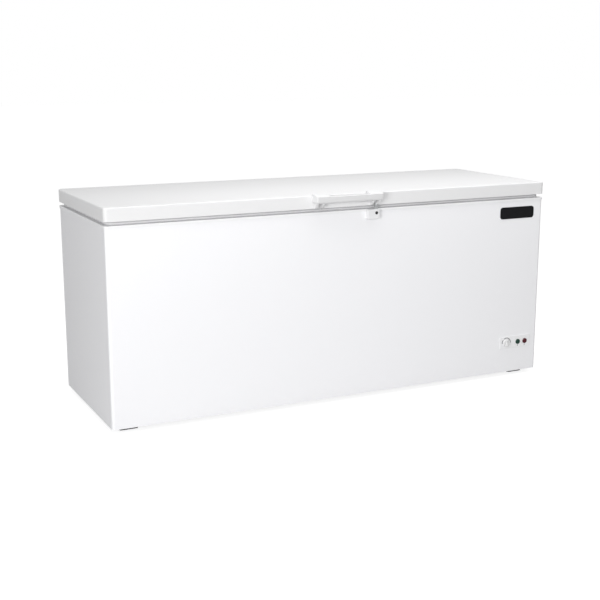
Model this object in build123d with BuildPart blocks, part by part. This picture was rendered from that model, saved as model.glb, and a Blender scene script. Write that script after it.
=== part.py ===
from build123d import *
import os
from math import cos, pi, sin, sqrt

# Chest freezer with a rear-hinged lid, in millimetres.
# The origin is on the floor under the middle of the overall box. Seen from the front, +X is to the
# right, +Y goes to the back and +Z is up.

# Cabinet shell
cabinet_width = 1920.0
cabinet_depth = 650.0
cabinet_height = 755.0
wrapper_radius = 12.0
sheet = 1.0
back_flange = 32.0
panel_margin = 2.0
base_rim = 18.0

# Feet
foot_height = 20.0
foot_size = 80.0
foot_taper = 4.0
foot_setback = 40.0
foot_side_setback = 36.0
foot_radius = 8.0

# Walls and storage space
wall = 78.0
floor_wall = 76.0
tub_corner = 18.0

# Machine bay
bay_width = 340.0
bay_height = 262.0
bay_wall = 60.0

# Moulded top frame
frame_wall = 2.5
overhang = 3.0
lip_height = 10.0
ledge_width = 24.0
ledge_drop = 20.0
skirt_height = 20.0

# Lid
lid_gap = 15.0
lid_thickness = 51.0
lid_edge_radius = 5.0
lid_flange = 9.5
panel_wall = 2.0
plug_gap = 10.5
plug_depth = 20.0
field_margin = 46.0
field_height = 2.5

# Lid gasket
gasket_setback = 2.0
gasket_width = 28.0
gasket_waist = 20.0
gasket_corner = 6.0
gasket_base_height = 5.0
gasket_foot_height = 5.5
gasket_wall = 1.7
magnet_height = 3.0
seal_clearance = 0.3

# Handle
handle_length = 292.0
grip_reach = 50.0
grip_depth = 30.0
grip_bottom_rise = 22.0
nose_height = 27.0
nose_rake = 6.0
crown_rise = 6.0
crown_flat = 12.0
grip_dip = 3.0
cheek_width = 56.0
arm_width = 34.0
rib_width = 8.0
arm_inset = 6.0
arm_root = 5.0
handle_radius = 8.0
grip_radius = 12.0
handle_screw_inset = 9.0
handle_screw_rise = 32.0

# Lock
lock_offset = -4.0
lock_width = 50.0
lock_height = 38.0
lock_reach = 20.0
lock_wall = 2.5
lock_rise = 10.0
barrel_radius = 4.6
barrel_flange_radius = 6.2
barrel_flange = 1.2
barrel_collar_radius = 6.5
barrel_collar = 1.0
barrel_offset_x = 12.0
barrel_drop = 14.5
keyway_width = 1.6
keyway_height = 5.5
keyway_depth = 2.5
tongue_width = 3.0
tongue_height = 9.0
tongue_reach = 1.5
hook_thickness = 3.0
hook_setout = 11.0
hook_play = 2.2
hook_stem = 10.0
hook_width = 16.0
hook_head = 4.0
hook_window = 11.0
hook_slot = 4.2
hook_lip = 4.5
hook_root = 6.0
slot_clearance = 2.5
running_clearance = 0.05
hand_clearance = 0.4

# Hinges
hinge_from_side = 340.0
hinge_plate = 2.5
hinge_setback = 13.0
knuckle_radius = 11.0
leaf_knuckle_radius = 9.0
ear_thickness = 3.0
ear_gap = 1.0
base_ear_x = 30.0
base_plate_height = 100.0
base_plate_margin = 12.0
base_plate_gap = 3.0
ear_root = 38.0
ear_root_drop = 24.0
leaf_height = 39.0
leaf_rise = 4.0
pin_radius = 4.0
pin_head_radius = 6.5
pin_head = 2.5

# Hinge springs
spring_wire = 3.0
spring_radius = 8.0
spring_turns = 8
spring_length = 34.0
spring_leg = 35.0
lug_height = 6.0
lug_width = 9.0
lug_wall = 3.0
lug_setback = 6.0
wire_clearance = 0.3

# Screws
screw_radius = 2.0
screw_head_radius = 4.5
screw_head = 2.6
screw_length = 14.0

# Controls
bezel_setback = 114.0
bezel_rise = 130.0
bezel_width = 160.0
bezel_height = 54.0
bezel_thickness = 2.0
bezel_radius = 6.0
bezel_margin = 9.0
spigot_depth = 8.0
knob_offset = -46.0
knob_radius = 17.0
knob_height = 6.0
knob_grip_width = 8.0
knob_grip_height = 4.0
shaft_radius = 3.0
shaft_depth = 14.0
thermostat_size = 34.0
thermostat_depth = 42.0
lamp_offset = 32.75
lamp_spacing = 36.5
lamp_radius = 11.2
lamp_body_radius = 6.0
lamp_rise = 4.0
lamp_depth = 22.0

# Air grilles of the machine bay
side_grille_length = 240.0
side_grille_height = 150.0
grille_margin = 12.0
grille_thickness = 2.4
slat_slot = 8.0
slat_pitch = 15.0
slat_count = 8
cover_margin = 12.0
cover_gap = 4.0
cover_slot_width = 7.0
cover_slot_height = 70.0
cover_slot_pitch = 18.0
cover_slot_columns = 12
cover_slot_rows = 2

# Cord gland
gland_radius = 8.0
gland_flange_radius = 11.0
gland_flange = 2.5
gland_bore = 4.5
gland_bore_depth = 9.0
gland_length = 12.0
gland_inset = 18.0

# Compressor
compressor_side = 75.0
compressor_front = 95.0
compressor_height = 170.0
compressor_crown = 38.0
compressor_foot_radius = 22.0
compressor_back_gap = 85.0
seam_rise = 5.0
seam_height = 6.0
mount_plate = 3.0
mount_x = 62.0
mount_y = 84.0
mount_edge = 17.0
grommet_radius = 14.0
grommet_height = 18.0
bolt_radius = 4.0
bolt_head_radius = 7.5
bolt_head = 5.0
bolt_clearance = 0.5
bolt_below = 3.0
stub_radius = 7.0
stub_reach = 16.0
stub_rise = 102.0
stub_spread = 48.0
stub_step = 14.0
relay_width = 56.0
relay_height = 64.0
relay_reach = 34.0

# Cooling tubes
evaporator_radius = 4.0
condenser_radius = 2.5
capillary_radius = 1.25
tube_gap = 1.5
tube_bend = 24.0
evaporator_gap = 3.0
evaporator_bend = 12.0
bay_bend = 17.0
evaporator_loops = 5
evaporator_pitch = 65.0
evaporator_rise = 60.0
evaporator_step_out = 16.0
condenser_runs = 6
condenser_pitch = 60.0
condenser_rise = 46.0
condenser_left_setback = 60.0
condenser_right_setback = 110.0
condenser_inlet_setback = 68.0
condenser_outlet_setback = 35.0
bay_tail = 30.0
tail_drop = 26.0
discharge_drop = 24.0
inlet_setback = 48.0
drier_radius = 10.0
drier_length = 110.0
drier_start = 110.0
drier_neck = 12.0

# Drain
drain_from_side = 160.0
drain_from_front = 150.0
drain_radius = 9.0
drain_wall = 2.5
drain_flange = 6.0
drain_flange_height = 2.0
drain_spout = 10.0
plug_head_radius = 13.0
plug_head_height = 6.0
plug_stem = 22.0
plug_grip_width = 5.0
plug_grip_height = 12.0
plug_clearance = 0.3

# Basket
basket_from_side = 155.0
basket_width = 330.0
basket_height = 215.0
basket_side_gap = 9.0
basket_wire = 3.5
basket_drop = 8.0
basket_pitch = 31.0
basket_hook_width = 90.0
basket_hook_reach = 20.0
basket_clearance = 0.3

# Places worked out from the sizes above
half_width = cabinet_width / 2
lid_reach = overhang + grip_reach
hinge_offset = overhang + hinge_setback
hinge_reach = hinge_offset + knuckle_radius
front_y = -(cabinet_depth + hinge_reach - lid_reach) / 2
back_y = front_y + cabinet_depth
mid_y = (front_y + back_y) / 2
lid_front_y = front_y - overhang
panel_back_y = back_y - sheet

base_top_z = foot_height + sheet
rim_z = foot_height + cabinet_height
wrapper_top_z = rim_z - frame_wall
ledge_z = rim_z - ledge_drop
liner_top_z = ledge_z - frame_wall
lid_z = rim_z + lid_gap
lid_top_z = lid_z + lid_thickness
floor_z = foot_height + floor_wall

bay_left_x = half_width - sheet - bay_width
bay_top_z = base_top_z + bay_height
hump_x = bay_left_x - sheet - bay_wall
hump_z = bay_top_z + sheet + bay_wall

tub_half_width = half_width - wall
tub_half_depth = cabinet_depth / 2 - wall
skirt_inset = wall + frame_wall
step_inset = skirt_inset - ledge_width
plug_inset = step_inset + plug_gap

hinge_x = half_width - hinge_from_side
hinge_y = back_y + hinge_offset
hinge_z = rim_z + lid_gap / 2
base_plate_top_z = rim_z - lip_height - base_plate_gap
spring_y = hinge_y - spring_radius

bezel_x = half_width - bezel_setback
bezel_z = foot_height + bezel_rise
knob_x = bezel_x + knob_offset
lamp_xs = {
    "power_lamp": bezel_x + lamp_offset - lamp_spacing / 2,
    "alarm_lamp": bezel_x + lamp_offset + lamp_spacing / 2,
}
handle_end_x = handle_length / 2
arm_x = handle_end_x - arm_inset - arm_width / 2
lock_x = arm_x + lock_offset
drain_x = -half_width + drain_from_side
basket_x = half_width - basket_from_side - basket_width / 2

front = Vector(0, -1, 0)
back = Vector(0, 1, 0)
right = Vector(1, 0, 0)
up = Vector(0, 0, 1)
down = Vector(0, 0, -1)


def outer_radius(inset):
    """Corner radius of a plan outline that runs along the wrapper."""
    return wrapper_radius - inset


def inner_radius(inset):
    """Corner radius of a plan outline that runs along the storage space."""
    return tub_corner + wall - inset


def plan_slab(inset, radius, bottom, top, mode=Mode.ADD):
    """The cabinet's plan, drawn in from the wrapper, between two heights."""
    with BuildSketch(Plane((0, mid_y, bottom))) as outline:
        RectangleRounded(cabinet_width - 2 * inset, cabinet_depth - 2 * inset, radius)
    extrude(outline.sketch, amount=top - bottom, mode=mode)


def block(low, high, mode=Mode.ADD):
    """A box between two opposite corners."""
    low = Vector(low)
    high = Vector(high)
    size = high - low
    with Locations((low + high) / 2):
        Box(size.X, size.Y, size.Z, mode=mode)


def rod(start, axis, radius, length, mode=Mode.ADD):
    """A round bar from a point along an axis."""
    with BuildSketch(Plane(start, z_dir=axis)) as section:
        Circle(radius)
    extrude(section.sketch, amount=length, mode=mode)


def screw(seat, axis):
    """A pan-head screw that goes along the axis from its seat."""
    rod(seat, axis, screw_radius, screw_length)
    rod(seat, -axis, screw_head_radius, screw_head)


def pipe(points, radius, bend=tube_bend):
    """A round tube along straight runs joined by bends."""
    with BuildLine() as route:
        FilletPolyline(*points, radius=bend)
    with BuildSketch(Plane(route.line @ 0, z_dir=route.line % 0)) as section:
        Circle(radius)
    sweep(section.sketch, path=route.line)


def tub(grow, top):
    """The storage space with its step over the machine bay, grown outwards by a wall."""
    side = tub_half_width + grow
    low = floor_z - grow
    step_x = hump_x + grow
    step_z = hump_z - grow
    end_y = mid_y + tub_half_depth + grow
    with BuildPart() as space:
        with BuildSketch(Plane((0, end_y, 0), x_dir=(1, 0, 0), z_dir=(0, -1, 0))):
            with BuildLine():
                Polyline(
                    (-side, top), (-side, low), (step_x, low), (step_x, step_z), (side, step_z), (side, top),
                    close=True,
                )
            make_face()
        extrude(amount=2 * (tub_half_depth + grow))
    return space.part


def keep(piece, name):
    """Label a finished piece and write it out."""
    piece.part.label = name
    export_step(piece.part, f"parts/{name}.step")


def keep_set(pieces, name):
    """Write out a piece that is put together from several solids."""
    solids = [solid for piece in pieces for solid in piece.part.solids()]
    export_step(Compound(solids, label=name), f"parts/{name}.step")


os.makedirs("parts", exist_ok=True)
tub_outside = tub(sheet, liner_top_z)
tub_inside = tub(0, rim_z)

# Places that several pieces share
foot_x = half_width - foot_side_setback - foot_size / 2
foot_y = cabinet_depth / 2 - foot_setback - foot_size / 2
foot_places = [(sx * foot_x, mid_y + sy * foot_y) for sx in (-1, 1) for sy in (-1, 1)]
drain_place = Vector(drain_x, front_y + drain_from_front, floor_z)
drain_outer = drain_radius + drain_wall
compressor_x = bay_left_x + bay_width / 2 - stub_reach
compressor_y = panel_back_y - compressor_back_gap - compressor_front
mount_places = [
    (compressor_x + sx * mount_x, compressor_y + sy * mount_y) for sx in (-1, 1) for sy in (-1, 1)
]
hinge_sides = {"left": -hinge_x, "right": hinge_x}
base_screw_x = base_ear_x + ear_thickness + base_plate_margin / 2
base_screw_zs = [
    base_plate_top_z - base_plate_margin,
    base_plate_top_z - base_plate_height + base_plate_margin,
]
base_screw_seats = [
    Vector(x + s * base_screw_x, panel_back_y + hinge_plate, z)
    for x in hinge_sides.values() for s in (-1, 1) for z in base_screw_zs
]
leaf_inner_x = base_ear_x - ear_gap - ear_thickness
leaf_outer_x = base_ear_x - ear_gap
leaf_bottom_z = lid_z + leaf_rise
leaf_back_y = back_y + overhang + hinge_plate
leaf_screw_z = leaf_bottom_z + leaf_height - 2 * screw_head_radius
leaf_screw_seats = [
    Vector(x + s * (leaf_inner_x - 2 * screw_head_radius), leaf_back_y, leaf_screw_z)
    for x in hinge_sides.values() for s in (-1, 1)
]
handle_screw_z = lid_z + handle_screw_rise
cheek_x = handle_length / 2 - cheek_width
handle_screw_seats = [
    Vector(s * (cheek_x + d), lid_front_y + sheet, handle_screw_z)
    for s in (-1, 1) for d in (handle_screw_inset, cheek_width - handle_screw_inset)
]
side_grille_y = compressor_y - compressor_front
side_grille_z = base_top_z + bay_height / 2
cover_left_x = bay_left_x + cover_margin
cover_right_x = half_width - back_flange - cover_gap
cover_low_z = base_top_z + base_rim + cover_gap
cover_high_z = bay_top_z - cover_margin
cover_screw_seats = [
    Vector(x, back_y, z)
    for x in (cover_left_x + cover_margin / 2, cover_right_x - cover_margin / 2)
    for z in (cover_low_z + cover_margin / 2, cover_high_z - cover_margin / 2)
]
gland_place = Vector(
    cover_left_x + cover_margin + gland_inset, back_y, cover_low_z + cover_margin + gland_inset
)
bezel_left_x = bezel_x - bezel_width / 2 + bezel_margin
bezel_right_x = bezel_x + bezel_width / 2 - bezel_margin
bezel_low_z = bezel_z - bezel_height / 2 + bezel_margin
bezel_high_z = bezel_z + bezel_height / 2 - bezel_margin
grille_front_y = side_grille_y - side_grille_length / 2
grille_back_y = side_grille_y + side_grille_length / 2
grille_low_z = side_grille_z - side_grille_height / 2
grille_high_z = side_grille_z + side_grille_height / 2

# Cooling tubes that lie in the foam, with both ends coming down into the machine bay
tail_z = bay_top_z - bay_tail
evaporator_x = tub_half_width + sheet + evaporator_gap + evaporator_radius
evaporator_y = tub_half_depth + sheet + evaporator_gap + evaporator_radius
evaporator_in = Vector(evaporator_x, mid_y - inlet_setback, tail_z)
evaporator_out = Vector(evaporator_x + evaporator_step_out, compressor_y - stub_spread / 2, tail_z)
condenser_y = front_y + sheet + tube_gap + condenser_radius
condenser_in = Vector(half_width - condenser_inlet_setback, condenser_y, tail_z)
condenser_out = Vector(half_width - condenser_outlet_setback, condenser_y, tail_z)

evaporator_levels = [hump_z + evaporator_rise + evaporator_pitch * k for k in range(evaporator_loops)]
evaporator_points = [evaporator_in, (evaporator_in.X, evaporator_in.Y, evaporator_levels[0])]
for level in evaporator_levels:
    evaporator_points += [
        (evaporator_x, mid_y - evaporator_y, level),
        (-evaporator_x, mid_y - evaporator_y, level),
        (-evaporator_x, mid_y + evaporator_y, level),
        (evaporator_x, mid_y + evaporator_y, level),
    ]
evaporator_points[-1] = (evaporator_out.X, mid_y + evaporator_y, evaporator_levels[-1])
evaporator_points += [(evaporator_out.X, evaporator_out.Y, evaporator_levels[-1]), evaporator_out]

with BuildPart() as evaporator_coil:
    pipe(evaporator_points, evaporator_radius, evaporator_bend)
keep(evaporator_coil, "evaporator_coil")

condenser_levels = [hump_z + condenser_rise + condenser_pitch * k for k in range(condenser_runs)]
condenser_points = [condenser_in]
condenser_x = condenser_in.X
for k, level in enumerate(condenser_levels):
    condenser_points.append((condenser_x, condenser_y, level))
    condenser_x = half_width - condenser_right_setback if k % 2 else condenser_left_setback - half_width
    if k == condenser_runs - 1:
        condenser_x = condenser_out.X
    condenser_points.append((condenser_x, condenser_y, level))
condenser_points.append(condenser_out)

with BuildPart() as condenser_coil:
    pipe(condenser_points, condenser_radius)
keep(condenser_coil, "condenser_coil")

# Cabinet shell
with BuildPart() as outer_wrapper:
    plan_slab(0, outer_radius(0), foot_height, wrapper_top_z)
    plan_slab(sheet, outer_radius(sheet), foot_height, wrapper_top_z, Mode.SUBTRACT)
    block(
        (-half_width + back_flange, back_y - 2 * sheet, foot_height),
        (half_width - back_flange, back_y + sheet, wrapper_top_z),
        Mode.SUBTRACT,
    )
    block(
        (bezel_left_x, front_y - sheet, bezel_low_z),
        (bezel_right_x, front_y + 2 * sheet, bezel_high_z),
        Mode.SUBTRACT,
    )
    block(
        (half_width - 2 * sheet, grille_front_y, grille_low_z),
        (half_width + sheet, grille_back_y, grille_high_z),
        Mode.SUBTRACT,
    )
keep(outer_wrapper, "outer_wrapper")

# Back panel: four flat stretches of sheet round the opening that the rear cover closes
panel_half = half_width - wrapper_radius - panel_margin
panel_low_z = base_top_z + base_rim
opening_left_x = cover_left_x + cover_margin
opening_right_x = cover_right_x - cover_margin
opening_low_z = cover_low_z + cover_margin
opening_high_z = cover_high_z - cover_margin
panel_sheets = []
for sheet_low, sheet_high in (
    ((-panel_half, panel_low_z), (panel_half, opening_low_z)),
    ((-panel_half, opening_low_z), (opening_left_x, opening_high_z)),
    ((opening_right_x, opening_low_z), (panel_half, opening_high_z)),
    ((-panel_half, opening_high_z), (panel_half, wrapper_top_z)),
):
    with BuildPart() as panel_sheet:
        block(
            (sheet_low[0], panel_back_y - sheet, sheet_low[1]), (sheet_high[0], panel_back_y, sheet_high[1])
        )
        for seat in base_screw_seats + cover_screw_seats:
            rod(seat, front, screw_radius, screw_length, Mode.SUBTRACT)
    panel_sheets.append(panel_sheet)
keep_set(panel_sheets, "back_panel")

with BuildPart() as base_tray:
    plan_slab(sheet, outer_radius(sheet), foot_height, panel_low_z)
    plan_slab(2 * sheet, outer_radius(2 * sheet), base_top_z, panel_low_z, Mode.SUBTRACT)
    for x, y in mount_places:
        rod((x, y, base_top_z), down, bolt_radius + bolt_clearance, 2 * sheet, Mode.SUBTRACT)
    for x, y in foot_places:
        rod((x, y, base_top_z), down, screw_radius, 2 * sheet, Mode.SUBTRACT)
    rod((drain_place.X, drain_place.Y, base_top_z), down, drain_outer, 2 * sheet, Mode.SUBTRACT)
keep(base_tray, "base_tray")

# Liner sheets: two long walls, and the ends, floor, riser and shelf between them
liner_front_y = mid_y - tub_half_depth
liner_back_y = mid_y + tub_half_depth
liner_sheets = []
for wall_low_y in (liner_front_y - sheet, liner_back_y):
    with BuildPart() as long_wall:
        add(tub_outside)
        block(
            (-half_width, wall_low_y, foot_height), (half_width, wall_low_y + sheet, rim_z), Mode.INTERSECT
        )
    liner_sheets.append(long_wall)
for sheet_low, sheet_high in (
    ((-tub_half_width - sheet, floor_z - sheet), (-tub_half_width, liner_top_z)),
    ((-tub_half_width, floor_z - sheet), (hump_x + sheet, floor_z)),
    ((hump_x, floor_z), (hump_x + sheet, hump_z - sheet)),
    ((hump_x, hump_z - sheet), (tub_half_width, hump_z)),
    ((tub_half_width, hump_z - sheet), (tub_half_width + sheet, liner_top_z)),
):
    with BuildPart() as cross_sheet:
        block((sheet_low[0], liner_front_y, sheet_low[1]), (sheet_high[0], liner_back_y, sheet_high[1]))
        rod(drain_place, down, drain_outer, 2 * sheet, Mode.SUBTRACT)
    liner_sheets.append(cross_sheet)
keep_set(liner_sheets, "inner_liner")

with BuildPart() as foam_insulation:
    plan_slab(2 * sheet, outer_radius(2 * sheet), base_top_z, panel_low_z)
    plan_slab(sheet, outer_radius(sheet), panel_low_z, wrapper_top_z)
    step_back = step_inset - frame_wall
    plan_slab(step_back, inner_radius(step_back), liner_top_z, wrapper_top_z, Mode.SUBTRACT)
    block(
        (-panel_half, panel_back_y - sheet, panel_low_z), (panel_half, back_y, wrapper_top_z), Mode.SUBTRACT
    )
    add(tub_outside, mode=Mode.SUBTRACT)
    block((bay_left_x - sheet, front_y, foot_height), (half_width, back_y, bay_top_z + sheet), Mode.SUBTRACT)
    add(evaporator_coil.part, mode=Mode.SUBTRACT)
    add(condenser_coil.part, mode=Mode.SUBTRACT)
    rod(drain_place, down, drain_outer, floor_wall, Mode.SUBTRACT)
    for seat in base_screw_seats:
        rod(seat, front, screw_radius, screw_length, Mode.SUBTRACT)
    for x, y in foot_places:
        if x < bay_left_x:
            rod((x, y, foot_height), up, screw_radius, screw_length, Mode.SUBTRACT)
keep(foam_insulation, "foam_insulation")

with BuildPart() as whole_frame:
    plan_slab(-overhang, outer_radius(-overhang), rim_z - lip_height, rim_z)
    plan_slab(0, outer_radius(0), rim_z - lip_height, wrapper_top_z, Mode.SUBTRACT)
    step_back = step_inset - frame_wall
    plan_slab(step_back, inner_radius(step_back), liner_top_z, rim_z)
    plan_slab(wall, inner_radius(wall), liner_top_z - skirt_height, liner_top_z)
    plan_slab(skirt_inset, inner_radius(skirt_inset), liner_top_z - skirt_height, ledge_z, Mode.SUBTRACT)
    plan_slab(step_inset, inner_radius(step_inset), ledge_z, rim_z, Mode.SUBTRACT)
    fillet(whole_frame.faces().sort_by(Axis.Z)[-1].outer_wire().edges(), overhang / 2)

# The frame's four lengths meet in mitres at the corners
frame_x = half_width + overhang
frame_y = cabinet_depth / 2 + overhang
mitre = skirt_inset + overhang + inner_radius(skirt_inset)
frame_lengths = []
for along_x in (True, False):
    for side in (-1, 1):
        long_half, short_half = (frame_x, frame_y) if along_x else (frame_y, frame_x)
        corners = [
            (-long_half, side * short_half),
            (long_half, side * short_half),
            (long_half - mitre, side * (short_half - mitre)),
            (mitre - long_half, side * (short_half - mitre)),
        ]
        with BuildPart() as frame_length:
            add(whole_frame.part)
            with BuildSketch(Plane((0, mid_y, liner_top_z - skirt_height))) as plan:
                with BuildLine():
                    Polyline(*[c if along_x else (c[1], c[0]) for c in corners], close=True)
                make_face()
            extrude(plan.sketch, amount=rim_z - liner_top_z + skirt_height, mode=Mode.INTERSECT)
        frame_lengths.append(frame_length)
keep_set(frame_lengths, "top_frame")

# Machine bay
tail_ends = {
    evaporator_in: evaporator_radius,
    evaporator_out: evaporator_radius,
    condenser_in: condenser_radius,
    condenser_out: condenser_radius,
}
with BuildPart() as bay_lining:
    plan_slab(2 * sheet, outer_radius(2 * sheet), base_top_z, bay_top_z + sheet)
    block((-half_width, front_y, foot_height), (bay_left_x - sheet, back_y, rim_z), Mode.SUBTRACT)
    block((bay_left_x, front_y, foot_height), (half_width, back_y, bay_top_z), Mode.SUBTRACT)
    for tail, radius in tail_ends.items():
        rod(tail, up, radius + wire_clearance, bay_tail + 2 * sheet, Mode.SUBTRACT)
keep(bay_lining, "bay_lining")

with BuildPart() as side_grille:
    with BuildSketch(Plane((half_width, side_grille_y, side_grille_z), x_dir=(0, 1, 0), z_dir=(1, 0, 0))):
        RectangleRounded(
            side_grille_length + 2 * grille_margin, side_grille_height + 2 * grille_margin, grille_margin
        )
    extrude(amount=grille_thickness)
    grille_edge = side_grille.faces().sort_by(Axis.X)[-1].edges()
    fillet(grille_edge, grille_thickness / 2)
    with BuildSketch(Plane((half_width, side_grille_y, side_grille_z), x_dir=(0, 1, 0), z_dir=(1, 0, 0))):
        Rectangle(side_grille_length, side_grille_height)
    extrude(amount=-3 * sheet)
    with BuildSketch(Plane((half_width, side_grille_y, side_grille_z), x_dir=(0, 1, 0), z_dir=(1, 0, 0))):
        with GridLocations(0, slat_pitch, 1, slat_count):
            SlotOverall(side_grille_length - 2 * grille_margin, slat_slot)
    extrude(amount=4 * sheet + grille_thickness, both=True, mode=Mode.SUBTRACT)
keep(side_grille, "side_grille")

with BuildPart() as rear_cover:
    block((cover_left_x, panel_back_y, cover_low_z), (cover_right_x, back_y, cover_high_z))
    cover_middle = Vector(
        (cover_left_x + cover_right_x) / 2, panel_back_y, (cover_low_z + cover_high_z) / 2 + gland_inset
    )
    with BuildSketch(Plane(cover_middle, x_dir=(1, 0, 0), z_dir=(0, -1, 0))):
        row_pitch = cover_slot_height + cover_slot_pitch
        with GridLocations(cover_slot_pitch, row_pitch, cover_slot_columns, cover_slot_rows):
            SlotOverall(cover_slot_height, cover_slot_width, rotation=90)
    extrude(amount=2 * sheet, both=True, mode=Mode.SUBTRACT)
    rod(gland_place, front, gland_radius, 2 * sheet, Mode.SUBTRACT)
    for seat in cover_screw_seats:
        rod(seat, front, screw_radius, screw_length, Mode.SUBTRACT)
keep(rear_cover, "rear_cover")

with BuildPart() as rear_cover_screws:
    for seat in cover_screw_seats:
        screw(seat, front)
keep(rear_cover_screws, "rear_cover_screws")

with BuildPart() as cord_gland:
    rod(gland_place, front, gland_radius, gland_length)
    rod(gland_place, back, gland_flange_radius, gland_flange)
    rod(gland_place + front * sheet, front, gland_flange_radius, gland_flange)
    rod(gland_place + back * gland_flange, front, gland_bore, gland_bore_depth, Mode.SUBTRACT)
keep(cord_gland, "cord_gland")

# Feet
with BuildPart() as feet:
    for x, y in foot_places:
        with BuildSketch(Plane((x, y, foot_height))) as foot_top:
            RectangleRounded(foot_size, foot_size, foot_radius)
        with BuildSketch(Plane((x, y, 0))) as foot_bottom:
            RectangleRounded(foot_size - 2 * foot_taper, foot_size - 2 * foot_taper, foot_radius)
        loft([foot_top.sketch.face(), foot_bottom.sketch.face()])
        rod((x, y, 0), up, screw_radius, foot_height, Mode.SUBTRACT)
        rod((x, y, 0), up, screw_head_radius, foot_height / 2, Mode.SUBTRACT)
keep(feet, "feet")

with BuildPart() as foot_screws:
    for x, y in foot_places:
        screw((x, y, foot_height / 2), up)
keep(foot_screws, "foot_screws")

# Compressor
plate_low_z = base_top_z + grommet_height
plate_top_z = plate_low_z + mount_plate
seam_z = plate_top_z + compressor_height / 2
suction_end = Vector(
    compressor_x + compressor_side + stub_reach, compressor_y - stub_spread / 2, plate_top_z + stub_rise
)
discharge_end = suction_end + Vector(0, stub_spread, -stub_step)

with BuildPart() as compressor:
    with BuildSketch(Plane((compressor_x, compressor_y, plate_top_z))):
        Ellipse(compressor_side, compressor_front)
    extrude(amount=compressor_height)
    fillet(compressor.faces().sort_by(Axis.Z)[-1].edges(), compressor_crown)
    fillet(compressor.faces().sort_by(Axis.Z)[0].edges(), compressor_foot_radius)
    with BuildSketch(Plane((compressor_x, compressor_y, seam_z - seam_height / 2))):
        Ellipse(compressor_side + seam_rise, compressor_front + seam_rise)
    extrude(amount=seam_height)
    for stub in (suction_end, discharge_end):
        rod(stub, -right, stub_radius, compressor_side)
keep(compressor, "compressor")

with BuildPart() as compressor_plate:
    with BuildSketch(Plane((compressor_x, compressor_y, plate_low_z))):
        RectangleRounded(2 * (mount_x + mount_edge), 2 * (mount_y + mount_edge), mount_edge)
        with GridLocations(2 * mount_x, 2 * mount_y, 2, 2):
            Circle(bolt_radius + bolt_clearance, mode=Mode.SUBTRACT)
    extrude(amount=mount_plate)
keep(compressor_plate, "compressor_plate")

with BuildPart() as compressor_grommets:
    for x, y in mount_places:
        rod((x, y, base_top_z), up, grommet_radius, grommet_height)
        rod((x, y, base_top_z), up, bolt_radius + bolt_clearance, grommet_height, Mode.SUBTRACT)
keep(compressor_grommets, "compressor_grommets")

with BuildPart() as compressor_bolts:
    for x, y in mount_places:
        rod((x, y, plate_top_z), down, bolt_radius, plate_top_z - foot_height + bolt_below)
        with BuildSketch(Plane((x, y, plate_top_z))) as bolt_top:
            RegularPolygon(bolt_head_radius, 6)
        extrude(bolt_top.sketch, amount=bolt_head)
keep(compressor_bolts, "compressor_bolts")

relay_front_y = compressor_y - compressor_front - relay_reach
with BuildPart() as relay_cover:
    block(
        (compressor_x - relay_width / 2, relay_front_y, seam_z - seam_height - relay_height),
        (compressor_x + relay_width / 2, compressor_y - compressor_front / 2, seam_z - seam_height),
    )
    fillet(relay_cover.edges().filter_by(Axis.Z).group_by(Axis.Y)[0], relay_width / 8)
    with BuildSketch(Plane((compressor_x, compressor_y, plate_top_z))):
        Ellipse(compressor_side + wire_clearance, compressor_front + wire_clearance)
    extrude(amount=compressor_height, mode=Mode.SUBTRACT)
keep(relay_cover, "relay_cover")

# Pipes in the machine bay
pipe_z = tail_z - tail_drop
with BuildPart() as discharge_pipe:
    pipe(
        [
            condenser_in,
            (condenser_in.X, condenser_in.Y, pipe_z - discharge_drop),
            (condenser_in.X, discharge_end.Y, pipe_z - discharge_drop),
            (condenser_in.X, discharge_end.Y, discharge_end.Z),
            discharge_end,
        ],
        condenser_radius,
        bay_bend,
    )
keep(discharge_pipe, "discharge_pipe")

with BuildPart() as suction_pipe:
    pipe(
        [evaporator_out, (evaporator_out.X, suction_end.Y, suction_end.Z), suction_end],
        evaporator_radius,
        bay_bend,
    )
keep(suction_pipe, "suction_pipe")

drier_begin = Vector(condenser_out.X, front_y + drier_start, pipe_z)
drier_end = drier_begin + back * drier_length
with BuildPart() as filter_drier:
    pipe([condenser_out, (condenser_out.X, condenser_out.Y, pipe_z), drier_begin], condenser_radius)
    rod(drier_begin, back, drier_radius, drier_length)
    fillet(filter_drier.faces().filter_by(GeomType.PLANE).filter_by(Axis.Y).edges().filter_by(
        lambda e: abs(e.radius - drier_radius) < wire_clearance), drier_radius / 2)
keep(filter_drier, "filter_drier")

with BuildPart() as capillary_pipe:
    pipe(
        [
            drier_end,
            (drier_end.X, evaporator_in.Y, pipe_z),
            (evaporator_in.X, evaporator_in.Y, pipe_z),
            evaporator_in,
        ],
        capillary_radius,
        drier_neck,
    )
keep(capillary_pipe, "capillary_pipe")

# Controls
bezel_front_y = front_y - bezel_thickness
with BuildPart() as control_bezel:
    with BuildSketch(Plane((bezel_x, front_y, bezel_z), x_dir=(1, 0, 0), z_dir=(0, -1, 0))):
        RectangleRounded(bezel_width, bezel_height, bezel_radius)
    extrude(amount=bezel_thickness)
    fillet(control_bezel.faces().sort_by(Axis.Y)[0].edges(), bezel_thickness / 3)
    block(
        (bezel_left_x, front_y, bezel_low_z),
        (bezel_right_x, front_y + spigot_depth, bezel_high_z),
    )
    shaft_hole = shaft_radius + wire_clearance
    rod((knob_x, bezel_front_y, bezel_z), back, shaft_hole, 2 * spigot_depth, Mode.SUBTRACT)
    for lamp_x in lamp_xs.values():
        rod((lamp_x, bezel_front_y, bezel_z), back, lamp_body_radius, 2 * spigot_depth, Mode.SUBTRACT)
keep(control_bezel, "control_bezel")

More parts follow.
